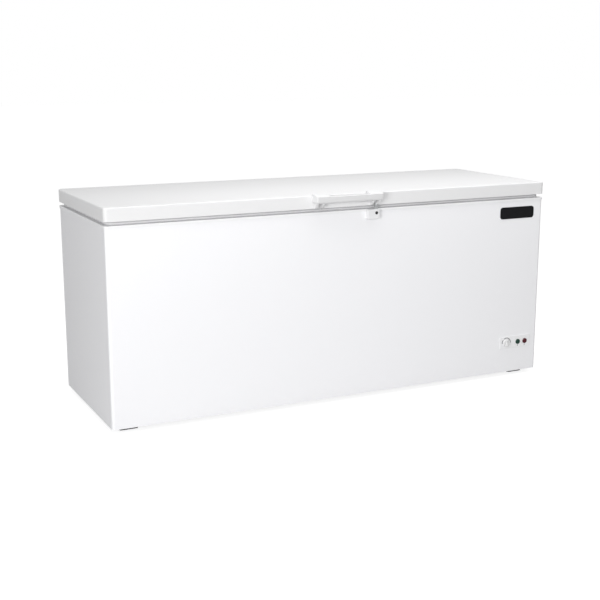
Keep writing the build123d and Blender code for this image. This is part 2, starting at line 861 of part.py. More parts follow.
thermostat_front_y = front_y + spigot_depth
with BuildPart() as thermostat_body:
    block(
        (knob_x - thermostat_size / 2, thermostat_front_y, bezel_z - thermostat_size / 2),
        (knob_x + thermostat_size / 2, thermostat_front_y + thermostat_depth, bezel_z + thermostat_size / 2),
    )
    fillet(thermostat_body.edges().filter_by(Axis.Y), shaft_radius)
    rod(
        (knob_x, thermostat_front_y, bezel_z), back, shaft_radius + running_clearance,
        shaft_depth + shaft_radius, Mode.SUBTRACT,
    )
keep(thermostat_body, "thermostat_body")

knob_back_y = bezel_front_y - hand_clearance
with BuildPart() as thermostat_knob:
    rod((knob_x, knob_back_y, bezel_z), front, knob_radius, knob_height)
    fillet(thermostat_knob.faces().sort_by(Axis.Y)[0].edges(), knob_height / 4)
    with BuildSketch(Plane((knob_x, knob_back_y - knob_height, bezel_z), x_dir=(1, 0, 0), z_dir=(0, -1, 0))):
        SlotOverall(2 * knob_radius - knob_height, knob_grip_width, rotation=90)
    extrude(amount=knob_grip_height)
    fillet(thermostat_knob.faces().sort_by(Axis.Y)[0].edges(), knob_grip_width / 6)
    rod(
        (knob_x, knob_back_y, bezel_z), back, shaft_radius,
        hand_clearance + bezel_thickness + spigot_depth + shaft_depth,
    )
keep(thermostat_knob, "thermostat_knob")

for lamp_name, lamp_x in lamp_xs.items():
    with BuildPart() as lamp:
        rod((lamp_x, bezel_front_y, bezel_z), front, lamp_radius, lamp_rise)
        fillet(lamp.faces().sort_by(Axis.Y)[0].edges(), lamp_rise * 0.7)
        rod((lamp_x, bezel_front_y, bezel_z), back, lamp_body_radius, lamp_depth)
    keep(lamp, lamp_name)

# Lock
lock_top_z = rim_z - lip_height + lock_rise
lock_low_z = lock_top_z - lock_height
lock_face_y = front_y - lock_reach
lock_left_x = lock_x - lock_width / 2
barrel_x = lock_x + barrel_offset_x
barrel_z = lock_top_z - barrel_drop
hook_front_y = front_y - hook_setout - hook_thickness
hook_back_y = hook_front_y + hook_thickness
hook_half = hook_width / 2

with BuildPart() as lock_body:
    block((lock_left_x, lock_face_y, lock_low_z), (lock_left_x + lock_width, front_y, lock_top_z))
    fillet(lock_body.edges().filter_by(Axis.Y), lock_wall)
    fillet(lock_body.faces().sort_by(Axis.Y)[0].edges(), lock_wall / 2)
    block(
        (lock_left_x + lock_wall, lock_face_y + lock_wall, lock_low_z + lock_wall),
        (lock_left_x + lock_width - lock_wall, front_y, lock_top_z - lock_wall),
        Mode.SUBTRACT,
    )
    block(
        (lock_left_x, front_y - overhang - hand_clearance, rim_z - lip_height - hand_clearance),
        (lock_left_x + lock_width, front_y, lock_top_z),
        Mode.SUBTRACT,
    )
    block(
        (barrel_x - hook_half - slot_clearance, hook_front_y - slot_clearance, lock_top_z - 2 * lock_wall),
        (barrel_x + hook_half + slot_clearance, hook_back_y + slot_clearance, lock_top_z),
        Mode.SUBTRACT,
    )
    barrel_hole = barrel_radius + running_clearance
    rod((barrel_x, lock_face_y, barrel_z), back, barrel_hole, 2 * lock_wall, Mode.SUBTRACT)
keep(lock_body, "lock_body")

barrel_face_y = lock_face_y - hand_clearance / 2
barrel_end_y = hook_front_y - hook_play
with BuildPart() as barrel_body:
    rod((barrel_x, barrel_face_y, barrel_z), front, barrel_flange_radius, barrel_flange)
    fillet(barrel_body.faces().sort_by(Axis.Y)[0].edges(), barrel_flange / 2)
    rod((barrel_x, barrel_face_y, barrel_z), back, barrel_radius, barrel_end_y - barrel_face_y)
    rod((barrel_x, barrel_end_y, barrel_z), front, barrel_collar_radius, barrel_collar)
    block(
        (barrel_x - keyway_width / 2, barrel_face_y - barrel_flange, barrel_z - keyway_height / 2),
        (barrel_x + keyway_width / 2, barrel_face_y + keyway_depth, barrel_z + keyway_height / 2),
        Mode.SUBTRACT,
    )
with BuildPart() as barrel_tongue:
    block(
        (barrel_x - tongue_width / 2, barrel_end_y, barrel_z - tongue_height / 2),
        (barrel_x + tongue_width / 2, hook_back_y + tongue_reach, barrel_z + tongue_height / 2),
    )
keep_set([barrel_body, barrel_tongue], "lock_barrel")

# The hook is a plate with a window round the tongue. The window is open below by a slot that lets the
# tongue out only while it stands upright.
hook_top_z = lid_z + grip_bottom_rise + hook_root
window_half = hook_window / 2
slot_half = hook_slot / 2
window_top_z = barrel_z + window_half
window_low_z = barrel_z - window_half
hook_lengths = []
for hook_low, hook_high in (
    ((-hook_stem / 2, window_top_z + hook_head), (hook_stem / 2, hook_top_z)),
    ((-hook_half, window_top_z), (hook_half, window_top_z + hook_head)),
    ((-hook_half, window_low_z), (-window_half, window_top_z)),
    ((window_half, window_low_z), (hook_half, window_top_z)),
    ((-hook_half, window_low_z - hook_lip), (-slot_half, window_low_z)),
    ((slot_half, window_low_z - hook_lip), (hook_half, window_low_z)),
):
    with BuildPart() as hook_length:
        block(
            (barrel_x + hook_low[0], hook_front_y, hook_low[1]),
            (barrel_x + hook_high[0], hook_back_y, hook_high[1]),
        )
    hook_lengths.append(hook_length)
keep_set(hook_lengths, "lock_hook")

# Lid
with BuildPart() as lid_inside:
    plan_slab(sheet - overhang, outer_radius(sheet - overhang), lid_z + sheet, lid_top_z - sheet)
    fillet(lid_inside.faces().sort_by(Axis.Z)[-1].edges(), lid_edge_radius - sheet)

with BuildPart() as lid_skin:
    plan_slab(-overhang, outer_radius(-overhang), lid_z, lid_top_z)
    fillet(lid_skin.faces().sort_by(Axis.Z)[-1].edges(), lid_edge_radius)
    add(lid_inside.part, mode=Mode.SUBTRACT)
    flange_inset = lid_flange - overhang
    ring_radius = gasket_corner + gasket_width
    plan_slab(flange_inset, ring_radius, lid_z - sheet, lid_z + 2 * sheet, Mode.SUBTRACT)
    for seat in handle_screw_seats:
        rod(seat + back * sheet, front, screw_radius, 3 * sheet, Mode.SUBTRACT)
    for seat in leaf_screw_seats:
        rod(seat, front, screw_radius, screw_length, Mode.SUBTRACT)
keep(lid_skin, "lid_skin")

panel_z = lid_z + sheet
panel_top_z = panel_z + panel_wall
plug_z = lid_z - plug_depth
pocket_z = plug_z + panel_wall
pocket_inset = plug_inset + panel_wall
field_inset = plug_inset + field_margin
with BuildPart() as lid_panel:
    plan_slab(sheet - overhang, outer_radius(sheet - overhang), panel_z, panel_top_z)
    plan_slab(plug_inset, inner_radius(plug_inset), plug_z, panel_z)
    fillet(lid_panel.faces().sort_by(Axis.Z)[0].edges(), lid_edge_radius)
    plan_slab(field_inset, inner_radius(plug_inset), plug_z - field_height, plug_z)
    fillet(lid_panel.faces().sort_by(Axis.Z)[0].edges(), field_height / 2)
    plan_slab(pocket_inset, inner_radius(pocket_inset), pocket_z, panel_top_z, Mode.SUBTRACT)
keep(lid_panel, "lid_panel")

with BuildPart() as lid_foam:
    add(lid_inside.part)
    plan_slab(-overhang, outer_radius(-overhang), lid_z, panel_top_z, Mode.SUBTRACT)
    plan_slab(pocket_inset, inner_radius(pocket_inset), pocket_z, panel_top_z)
    for seat in handle_screw_seats:
        rod(seat, back, screw_head_radius, screw_head, Mode.SUBTRACT)
    for seat in leaf_screw_seats:
        rod(seat, front, screw_radius, screw_length, Mode.SUBTRACT)
keep(lid_foam, "lid_foam")

gasket_low_z = rim_z + seal_clearance
gasket_inset = flange_inset + gasket_setback
waist_in = (gasket_width - gasket_waist) / 2


def gasket_ring(margin, bottom, top, mode=Mode.ADD):
    """A plan ring as wide as the gasket less a margin on both sides."""
    outer = gasket_inset + margin
    inner = gasket_inset + gasket_width - margin
    with BuildSketch(Plane((0, mid_y, bottom))) as outline:
        RectangleRounded(
            cabinet_width - 2 * outer, cabinet_depth - 2 * outer, gasket_corner + gasket_width - margin
        )
        RectangleRounded(
            cabinet_width - 2 * inner, cabinet_depth - 2 * inner, gasket_corner + margin, mode=Mode.SUBTRACT
        )
    extrude(outline.sketch, amount=top - bottom, mode=mode)


with BuildPart() as lid_gasket:
    gasket_ring(0, panel_z - gasket_base_height, panel_z)
    gasket_ring(waist_in, gasket_low_z, panel_z)
    gasket_ring(gasket_wall, gasket_low_z, gasket_low_z + gasket_foot_height)
    gasket_ring(waist_in + gasket_wall, gasket_low_z + gasket_wall, panel_z, Mode.SUBTRACT)
keep(lid_gasket, "lid_gasket")

with BuildPart() as gasket_magnet:
    magnet_z = gasket_low_z + gasket_wall
    gasket_ring(waist_in + gasket_wall, magnet_z, magnet_z + magnet_height)
keep(gasket_magnet, "gasket_magnet")

# Handle
grip_z = lid_z + grip_bottom_rise
crown_z = lid_top_z + crown_rise
nose_y = lid_front_y - grip_reach
with BuildPart() as handle:
    with BuildSketch(Plane((-handle_end_x, 0, 0), x_dir=(0, 1, 0), z_dir=(1, 0, 0))) as section:
        with BuildLine():
            Polyline(
                (lid_front_y, grip_z),
                (nose_y + nose_rake, grip_z),
                (nose_y, grip_z + nose_height),
                (lid_front_y - crown_flat, crown_z),
                (lid_front_y, crown_z),
                close=True,
            )
        make_face()
        nose = section.vertices().sort_by(Axis.X)[:2].sort_by(Axis.Y)
        fillet(nose[0], grip_radius)
        fillet(nose[1], handle_radius)
    extrude(amount=handle_length)
    fillet(handle.faces().sort_by(Axis.Y)[0].edges().filter_by(Axis.X, reverse=True), handle_radius)
    block((-cheek_x, nose_y + grip_depth, grip_z), (cheek_x, lid_front_y, crown_z), Mode.SUBTRACT)
    block((-cheek_x, nose_y, crown_z - crown_rise - grip_dip), (cheek_x, lid_front_y, crown_z), Mode.SUBTRACT)
    rib_offset = (arm_width - rib_width) / 2
    for rib_x in (-arm_x - rib_offset, -arm_x + rib_offset, arm_x - rib_offset, arm_x + rib_offset):
        with BuildSketch(Plane((rib_x, 0, 0), x_dir=(0, 1, 0), z_dir=(1, 0, 0))) as rib:
            with BuildLine():
                toe = (lid_front_y - arm_root, lid_z)
                tip = (nose_y + nose_rake + grip_radius, grip_z)
                Line((lid_front_y, lid_z), toe)
                SagittaArc(toe, tip, arm_root)
                Polyline(tip, (lid_front_y, grip_z), (lid_front_y, lid_z))
            make_face()
        extrude(rib.sketch, amount=rib_width / 2, both=True)
    for hook_length in hook_lengths:
        add(hook_length.part, mode=Mode.SUBTRACT)
    for seat in handle_screw_seats:
        rod(seat, front, screw_radius, screw_length, Mode.SUBTRACT)
keep(handle, "handle")

with BuildPart() as handle_screws:
    for seat in handle_screw_seats:
        screw(seat, front)
keep(handle_screws, "handle_screws")

# Hinges
base_half = base_ear_x + ear_thickness + base_plate_margin
base_plate_y = panel_back_y + hinge_plate
lug_y = spring_y + spring_wire / 2 + wire_clearance + lug_wall
spring_end = spring_length / 2
base_lug_z = base_plate_top_z - lug_setback
leaf_lug_z = leaf_bottom_z + leaf_height - lug_setback - 3 * lug_height


def ear(x, radius, root_y, root_low, root_high):
    """A hinge ear that widens from the pivot to its root on a plate."""
    with BuildSketch(Plane((x, 0, 0), x_dir=(0, 1, 0), z_dir=(1, 0, 0))) as outline:
        with BuildLine() as edge:
            CenterArc((hinge_y, hinge_z), radius, 0, 360)
            Line((root_y, root_low), (root_y, root_high))
        make_hull(edge.edges())
    extrude(outline.sketch, amount=ear_thickness)


def spring_path(x):
    """Points and directions on the coil at every quarter turn, with its straight legs."""
    quarters = 4 * spring_turns
    rise = spring_length / quarters
    sweep_length = spring_radius * pi / 2
    places = []
    for k in range(quarters + 1):
        turn = pi - k * pi / 2
        spoke = Vector(0, cos(turn), sin(turn))
        place = Vector(x - spring_end + rise * k, hinge_y, hinge_z) + spoke * spring_radius
        heading = Vector(rise, sweep_length * spoke.Z, -sweep_length * spoke.Y)
        places.append((place, heading.normalized()))
    places[0] = (places[0][0], up)
    places[-1] = (places[-1][0], up)
    return places


def spring_gap(x):
    """Least clear gap between one turn of the coil and the next, measured on points."""
    steps = 48
    places = []
    for k in range(spring_turns * steps + 1):
        turn = pi - 2 * pi * k / steps
        along = x - spring_end + spring_length * k / (spring_turns * steps)
        places.append(Vector(along, spring_radius * cos(turn), spring_radius * sin(turn)))
    return min(
        (places[i] - places[j]).length
        for i in range(len(places)) for j in range(i + steps // 2, len(places))
    ) - spring_wire


for side, x in hinge_sides.items():
    with BuildPart() as hinge_base:
        block(
            (x - base_half, panel_back_y, base_plate_top_z - base_plate_height),
            (x + base_half, base_plate_y, base_plate_top_z),
        )
        for ear_x in (x - base_ear_x - ear_thickness, x + base_ear_x):
            ear(
                ear_x, knuckle_radius, base_plate_y,
                base_plate_top_z - ear_root_drop - ear_root, base_plate_top_z - ear_root_drop,
            )
        block(
            (x - spring_end - lug_width / 2, base_plate_y, base_lug_z - lug_height),
            (x - spring_end + lug_width / 2, lug_y, base_lug_z),
        )
        rod(
            (x - spring_end, spring_y, base_lug_z), down, spring_wire / 2 + wire_clearance,
            lug_height, Mode.SUBTRACT,
        )
        rod(
            (x - base_half, hinge_y, hinge_z), right, pin_radius + running_clearance,
            2 * base_half, Mode.SUBTRACT,
        )
        for seat in base_screw_seats:
            rod(seat, front, screw_radius, screw_length, Mode.SUBTRACT)
    keep(hinge_base, f"hinge_base_{side}")

    with BuildPart() as hinge_leaf:
        block(
            (x - leaf_outer_x, back_y + overhang, leaf_bottom_z),
            (x + leaf_outer_x, leaf_back_y, leaf_bottom_z + leaf_height),
        )
        for ear_x in (x - leaf_outer_x, x + leaf_inner_x):
            ear(ear_x, leaf_knuckle_radius, leaf_back_y, leaf_bottom_z, leaf_bottom_z + leaf_height / 2)
        block(
            (x + spring_end - lug_width / 2, leaf_back_y, leaf_lug_z),
            (x + spring_end + lug_width / 2, lug_y, leaf_lug_z + lug_height),
        )
        rod(
            (x + spring_end, spring_y, leaf_lug_z), up, spring_wire / 2 + wire_clearance,
            lug_height, Mode.SUBTRACT,
        )
        rod(
            (x - leaf_outer_x, hinge_y, hinge_z), right, pin_radius + running_clearance,
            2 * leaf_outer_x, Mode.SUBTRACT,
        )
        for seat in leaf_screw_seats:
            rod(seat, front, screw_radius, screw_length, Mode.SUBTRACT)
    keep(hinge_leaf, f"hinge_leaf_{side}")

    pin_half = base_ear_x + ear_thickness + wire_clearance
    with BuildPart() as hinge_pin:
        rod((x - pin_half, hinge_y, hinge_z), right, pin_radius, 2 * pin_half)
        rod((x + pin_half, hinge_y, hinge_z), right, pin_head_radius, pin_head)
        rod((x - pin_half, hinge_y, hinge_z), -right, pin_head_radius, pin_head)
        fillet(hinge_pin.faces().sort_by(Axis.X)[0].edges(), pin_head / 3)
        fillet(hinge_pin.faces().sort_by(Axis.X)[-1].edges(), pin_head / 3)
    keep(hinge_pin, f"hinge_pin_{side}")

    coil = spring_path(x)
    with BuildPart() as hinge_spring:
        with BuildLine() as wire:
            Line(coil[0][0] - coil[0][1] * spring_leg, coil[0][0])
            for (begin, leaving), (end, arriving) in zip(coil, coil[1:]):
                span = end - begin
                lean = 2 * (1 - leaving.dot(arriving))
                pull = span.dot(leaving + arriving)
                reach = (sqrt(pull ** 2 + lean * span.dot(span)) - pull) / lean
                middle = (begin + leaving * reach + end - arriving * reach) / 2
                TangentArc(begin, middle, tangent=leaving)
                TangentArc(middle, end, tangent=span - (leaving + arriving) * reach)
            Line(coil[-1][0], coil[-1][0] + coil[-1][1] * spring_leg)
        with BuildSketch(Plane(wire.line @ 0, z_dir=wire.line % 0)):
            Circle(spring_wire / 2)
        sweep(path=wire.line)
    keep(hinge_spring, f"hinge_spring_{side}")
    print(f"hinge_spring_{side}: least gap between turns {spring_gap(x):.2f} mm")

with BuildPart() as hinge_base_screws:
    for seat in base_screw_seats:
        screw(seat, front)
keep(hinge_base_screws, "hinge_base_screws")

with BuildPart() as hinge_leaf_screws:
    for seat in leaf_screw_seats:
        screw(seat, front)
keep(hinge_leaf_screws, "hinge_leaf_screws")

# Drain
with BuildPart() as drain_tube:
    rod(drain_place, down, drain_outer, floor_wall + foot_height - drain_spout)
    rod(drain_place, up, drain_outer + drain_flange, drain_flange_height)
    rod(
        drain_place + up * drain_flange_height, down, drain_radius,
        floor_wall + foot_height + drain_flange_height, Mode.SUBTRACT,
    )
keep(drain_tube, "drain_tube")

plug_seat = drain_place + up * (drain_flange_height + plug_clearance)
with BuildPart() as drain_plug:
    rod(plug_seat, down, drain_radius - plug_clearance, plug_stem)
    rod(plug_seat, up, plug_head_radius, plug_head_height)
    fillet(drain_plug.faces().sort_by(Axis.Z)[-1].edges(), plug_head_height / 3)
    grip_low = plug_seat + up * plug_head_height
    block(
        grip_low - Vector(plug_head_radius / 2, plug_grip_width / 2, 0),
        grip_low + Vector(plug_head_radius / 2, plug_grip_width / 2, plug_grip_height),
    )
keep(drain_plug, "drain_plug")

# Basket of five welded grids
basket_half_depth = tub_half_depth - frame_wall - basket_side_gap
basket_top_z = ledge_z - basket_drop
basket_low_z = basket_top_z - basket_height
basket_left_x = basket_x - basket_width / 2
basket_front_y = mid_y - basket_half_depth
basket_back_y = mid_y + basket_half_depth


def grid_plate(plane, width, height):
    """A flat welded grid whose wires stand about one pitch apart."""
    columns = round(width / basket_pitch)
    rows = round(height / basket_pitch)
    pitch_x = (width - basket_wire) / columns
    pitch_y = (height - basket_wire) / rows
    with BuildSketch(plane) as outline:
        Rectangle(width, height)
        with GridLocations(pitch_x, pitch_y, columns, rows):
            Rectangle(pitch_x - basket_wire, pitch_y - basket_wire, mode=Mode.SUBTRACT)
    extrude(outline.sketch, amount=basket_wire)


with BuildPart() as basket_floor:
    grid_plate(Plane((basket_x, mid_y, basket_low_z)), basket_width, 2 * basket_half_depth)
keep(basket_floor, "basket_floor")

wall_low_z = basket_low_z + basket_wire
wall_height = basket_top_z - wall_low_z
wall_z = (wall_low_z + basket_top_z) / 2
bar_low_z = ledge_z + basket_clearance
bar_top_z = bar_low_z + basket_wire
for name, wall_y, out in (("front", basket_front_y, -1), ("back", basket_back_y, 1)):
    outward = Vector(0, out, 0)
    with BuildPart() as basket_wall:
        plane = Plane((basket_x, wall_y, wall_z), x_dir=(1, 0, 0), z_dir=-outward)
        grid_plate(plane, basket_width, wall_height)
    basket_set = [basket_wall]
    inside_y = wall_y - out * basket_wire
    outside_y = wall_y + out * basket_hook_reach
    riser = sorted((wall_y, inside_y))
    arm = sorted((inside_y, outside_y))
    tip = sorted((outside_y, outside_y - out * basket_wire))
    for hook_side in (-1, 1):
        hook_x = basket_x + hook_side * (basket_width - basket_hook_width) / 2
        left_x = hook_x - basket_hook_width / 2
        right_x = hook_x + basket_hook_width / 2
        with BuildPart() as basket_hook:
            block((left_x, riser[0], basket_top_z), (right_x, riser[1], bar_top_z))
            block((left_x, arm[0], bar_low_z), (right_x, arm[1], bar_top_z))
            block(
                (left_x + basket_wire, arm[0], basket_top_z), (right_x - basket_wire, arm[1], bar_top_z),
                Mode.SUBTRACT,
            )
            block((left_x, tip[0], bar_low_z), (right_x, tip[1], bar_top_z))
        basket_set.append(basket_hook)
    keep_set(basket_set, f"basket_{name}")

side_depth = 2 * (basket_half_depth - basket_wire)
for name, wall_x, inward in (
    ("left", basket_left_x, right), ("right", basket_left_x + basket_width, -right)
):
    with BuildPart() as basket_end:
        plane = Plane((wall_x, mid_y, wall_z), x_dir=(0, 1, 0), z_dir=inward)
        grid_plate(plane, side_depth, wall_height)
    keep(basket_end, f"basket_{name}")
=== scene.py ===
from math import cos, pi, radians, sin, tan

import bmesh
import bpy
from bpy.props import FloatProperty, FloatVectorProperty, IntProperty, PointerProperty
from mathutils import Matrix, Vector


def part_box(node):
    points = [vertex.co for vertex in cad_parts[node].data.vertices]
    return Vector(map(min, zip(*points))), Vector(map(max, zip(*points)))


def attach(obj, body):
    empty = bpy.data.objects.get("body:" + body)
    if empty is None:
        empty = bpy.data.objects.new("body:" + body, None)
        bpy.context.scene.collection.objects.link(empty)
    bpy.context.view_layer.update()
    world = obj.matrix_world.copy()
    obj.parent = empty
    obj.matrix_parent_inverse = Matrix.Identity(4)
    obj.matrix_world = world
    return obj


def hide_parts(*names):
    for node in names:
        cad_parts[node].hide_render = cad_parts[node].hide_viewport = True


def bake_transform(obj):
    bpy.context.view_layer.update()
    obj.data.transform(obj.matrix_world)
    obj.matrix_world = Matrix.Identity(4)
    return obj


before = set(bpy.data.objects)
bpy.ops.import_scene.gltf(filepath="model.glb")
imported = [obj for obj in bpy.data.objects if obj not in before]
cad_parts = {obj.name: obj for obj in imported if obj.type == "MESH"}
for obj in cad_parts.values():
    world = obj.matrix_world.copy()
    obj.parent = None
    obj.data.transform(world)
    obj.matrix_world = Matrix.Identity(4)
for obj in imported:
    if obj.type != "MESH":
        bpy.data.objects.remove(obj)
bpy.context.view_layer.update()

bl_info = {
    "name": "Chest freezer looks",
    "version": (1, 0, 0),
    "blender": (4, 5, 0),
    "location": "3D View > Sidebar > Freezer",
    "description": "Dresses a chest freezer's solids with finishes, fine pieces and a studio",
    "category": "Object",
}

right = Vector((1, 0, 0))
back = Vector((0, 1, 0))
up = Vector((0, 0, 1))

# Sides of round wires and heads, and steps of round bends
wire_sides = 8
wire_steps = 4
hoop_sides = 10
hoop_steps = 5
coil_sides = 12
coil_steps = 32
gasket_steps = 8
head_sides = 24
dial_steps = 24

# Edges that meet at less than this angle are shaded as one surface
smooth_angle = radians(35)

# In metres: points this close are made one, places this close count as the same, and a drawn
# loop starts from a plane of this size that is shrunk to a point
weld_gap = 1e-6
near_enough = 1e-5
speck = 0.001


def colour(name, description, default):
    """A colour that a user may change."""
    return FloatVectorProperty(
        name=name, description=description, default=default, subtype="COLOR", size=3, min=0, max=1
    )


def length(name, description, default):
    """A length in metres that a user may change."""
    return FloatProperty(
        name=name, description=description, default=default, unit="LENGTH", min=0, precision=5
    )


def count(name, description, default):
    """A whole number that a user may change."""
    return IntProperty(name=name, description=description, default=default, min=1)


def position(name, description, default):
    """A place in the studio that a user may change."""
    return FloatVectorProperty(name=name, description=description, default=default, subtype="TRANSLATION")


def power(name, description, default):
    """A lamp's power in watts that a user may change."""
    return FloatProperty(name=name, description=description, default=default, unit="POWER", min=0)


class FreezerColours(bpy.types.PropertyGroup):
    """Colours of the freezer's finishes."""

    cabinet: colour("Cabinet", "Baked enamel on the cabinet", (0.90, 0.90, 0.918))
    # The lid's white enamel with painted shade: set darker than the cabinet's to stand in for the lesser
    # light on the lid's top and sides
    lid: colour("Lid", "Baked enamel on the lid", (0.78, 0.78, 0.785))
    rim: colour("Rim", "Moulded frame round the mouth", (0.84, 0.84, 0.85))
    lining: colour("Lid lining", "Moulded panel under the lid", (0.86, 0.86, 0.86))
    handle: colour("Handle", "Moulded handle", (0.76, 0.76, 0.765))
    lock: colour("Lock", "Lock housing", (0.81, 0.81, 0.82))
    # Light grey seal with painted shade: set darker to stand in for the shade that falls on it under the
    # lid's overhang
    gasket: colour("Gasket", "Soft seal under the lid", (0.66, 0.66, 0.67))
    liner: colour("Liner", "Embossed aluminium", (0.80, 0.81, 0.82))
    sheet: colour("Sheet", "Galvanised sheet", (0.60, 0.62, 0.64))
    zinc: colour("Zinc", "Plated hinges and screws", (0.66, 0.67, 0.68))
    spring: colour("Spring", "Hinge springs and pins", (0.34, 0.35, 0.37))
    bezel: colour("Bezel", "Control panel", (0.86, 0.86, 0.87))
    knob: colour("Knob", "Thermostat knob", (0.79, 0.79, 0.79))
    ink: colour("Ink", "Printed marks", (0.30, 0.30, 0.31))
    lamp_green: colour("Power lamp", "Lens of the power lamp", (0.004, 0.040, 0.026))
    lamp_red: colour("Alarm lamp", "Lens of the alarm lamp", (0.075, 0.004, 0.010))
    plate: colour("Plate", "Blank front plate", (0.006, 0.006, 0.007))
    foot: colour("Feet", "Moulded feet", (0.04, 0.04, 0.042))
    black: colour("Black", "Compressor enamel, rubber and relay cover", (0.018, 0.018, 0.019))
    copper: colour("Copper", "Pipes in the machine bay", (0.66, 0.33, 0.20))
    basket: colour("Basket", "Coating of the wire basket", (0.84, 0.84, 0.84))
    foam: colour("Foam", "Insulation", (0.80, 0.71, 0.48))
    grey: colour("Grey", "Thermostat housing", (0.45, 0.46, 0.47))


class FreezerSizes(bpy.types.PropertyGroup):
    """Sizes of the pieces that are modelled over the solids."""

    gasket_width: length("Gasket width", "Width of the folded seal", 0.028)
    gasket_bend: length("Gasket bend", "Bend of the seal at the lid's corners", 0.034)
    spring_wire: length("Spring wire", "Thickness of the hinge springs' wire", 0.003)
    spring_radius: length("Spring radius", "From the hinge's axis to the middle of the wire", 0.008)
    spring_length: length("Spring length", "Length of the coil along the hinge", 0.034)
    spring_leg: length("Spring leg", "Length of each straight leg", 0.035)
    spring_turns: count("Spring turns", "Turns of each coil", 8)
    basket_wire: length("Basket wire", "Thickness of the basket's wires", 0.0028)
    basket_rim: length("Basket rim", "Thickness of the basket's rim wire", 0.0050)
    basket_pitch: length("Basket pitch", "Distance between the basket's wires", 0.0310)
    basket_bend: length("Basket bend", "Bend of the wires between floor and wall", 0.012)
    hoop_bend: length("Hoop bend", "Bend of the hoops at the basket's corners", 0.022)
    hoop_count: count("Hoops", "Hoops between the basket's floor and its rim", 6)
    hook_width: length("Hook width", "Width of each hook that lies on the ledge", 0.084)
    hook_margin: length("Hook margin", "From the basket's end to the nearest hook", 0.003)
    hook_bend: length("Hook bend", "Bend of the hooks' wire", 0.0042)
    screw_head: length("Screw head", "Radius of the screws' heads", 0.0045)
    screw_rise: length("Screw rise", "Height of the screws' heads", 0.0026)
    screw_margin: length("Screw margin", "From a hinge base's edge to its screws", 0.006)
    cross_length: length("Cross length", "Length of each slot in a screw's head", 0.0050)
    cross_width: length("Cross width", "Width of each slot in a screw's head", 0.0010)
    cross_depth: length("Cross depth", "Depth of each slot in a screw's head", 0.0015)
    print_thickness: length("Print thickness", "How far printed marks stand out", 0.0002)
    dial_radius: length("Dial radius", "Middle of the printed arc round the knob", 0.0215)
    dial_width: length("Dial width", "Width of the printed arc", 0.0040)
    tick_width: length("Tick width", "Width of the mark under each lamp", 0.0024)
    tick_length: length("Tick length", "Length of the mark under each lamp", 0.0088)
    tick_gap: length("Tick gap", "From each lamp to the mark under it", 0.0012)
    tick_corner: length("Tick corner", "Radius of the marks' corners", 0.0004)
    pointer_width: length("Pointer width", "Width of the knob's pointer", 0.0022)
    pointer_start: length("Pointer start", "From the knob's middle to the pointer", 0.0040)
    pointer_end: length("Pointer end", "From the knob's middle to the pointer's far end", 0.0125)
    pointer_corner: length("Pointer corner", "Radius of the pointer's corners", 0.0006)
    plate_width: length("Plate width", "Width of the blank front plate", 0.172)
    plate_height: length("Plate height", "Height of the blank front plate", 0.050)
    plate_thickness: length("Plate thickness", "How far the plate stands out", 0.0022)
    plate_from_side: length("Plate from side", "From the cabinet's right side to the plate's middle", 0.1315)
    plate_from_top: length("Plate from top", "From the wrapper's top to the plate's middle", 0.0555)
    plate_corner: length("Plate corner", "Radius of the plate's corners", 0.012)
    plate_edge: length("Plate edge", "Rounding of the plate's front edge", 0.0008)
    plate_border: length("Plate border", "Width of the plate's raised border", 0.0028)
    plate_recess: length("Plate recess", "How far the plate's middle lies behind its border", 0.0005)


class FreezerStudio(bpy.types.PropertyGroup):
    """Camera, light and floor."""

    lens: FloatProperty(name="Lens", description="Focal length", default=64.83, unit="CAMERA")
    sensor: FloatProperty(name="Sensor", description="Width of the sensor", default=36.0, unit="CAMERA")
    camera_place: position("Camera place", "Where the camera stands", (-1.9977, -3.9958, 1.3422))
    camera_heading: FloatVectorProperty(
        name="Camera heading", description="Where the camera looks", default=(0.4292, 0.8771, -0.2156),
        subtype="DIRECTION",
    )
    key_power: power("Key", "Power of the softbox at the front left", 176.0)
    key_place: position("Key place", "Where the softbox at the front left stands", (-4.6, -4.2, 1.3))
    key_aim: position("Key aim", "Where the softbox at the front left points", (-0.2, -0.3, 0.45))
    key_width: length("Key width", "Width of the softbox at the front left", 2.0)
    key_depth: length("Key depth", "Depth of the softbox at the front left", 2.0)
    fill_power: power("Fill", "Power of the softbox in front", 44.0)
    fill_place: position("Fill place", "Where the softbox in front stands", (-0.6, -4.4, 1.7))
    fill_aim: position("Fill aim", "Where the softbox in front points", (0.0, -0.3, 0.5))
    fill_width: length("Fill width", "Width of the softbox in front", 2.4)
    fill_depth: length("Fill depth", "Depth of the softbox in front", 2.0)
    top_power: power("Top", "Power of the strip over the lid", 11.6)
    top_place: position("Top place", "Where the strip over the lid hangs", (0.28, -0.40, 1.70))
    top_aim: position("Top aim", "Where the strip over the lid points", (0.28, -0.38, 0.80))
    top_width: length("Top width", "Width of the strip over the lid", 2.75)
    top_depth: length("Top depth", "Depth of the strip over the lid", 0.8)
    ambient: FloatProperty(name="Ambient", description="Light from all round", default=0.45)
    floor: colour("Floor", "Pale studio floor", (0.50, 0.50, 0.50))
    floor_size: length("Floor size", "Width and depth of the studio floor", 60.0)
    floor_glow: FloatProperty(
        name="Floor glow", description="How far the floor is lifted to white", default=0.80
    )


def colours():
    """The freezer's colours in this scene."""
    return bpy.context.scene.freezer_colours


def sizes():
    """The freezer's sizes in this scene."""
    return bpy.context.scene.freezer_sizes


# Finishes: scales are counts in a metre, depths are metres, and gloss is the range of roughness

def start_finish(name):
    """A new material, with its shader and the piece's own coordinates."""
    material = bpy.data.materials.new(name)
    material.use_nodes = True
    tree = material.node_tree
    shader = tree.nodes["Principled BSDF"]
    coordinates = tree.nodes.new("ShaderNodeTexCoord").outputs["Object"]
    return material, tree, shader, coordinates


def add_noise(tree, coordinates, scale, detail=2.0):
    """Cloudy noise."""
    noise = tree.nodes.new("ShaderNodeTexNoise")
    noise.inputs["Scale"].default_value = scale
    noise.inputs["Detail"].default_value = detail
    tree.links.new(coordinates, noise.inputs["Vector"])
    return noise.outputs["Fac"]


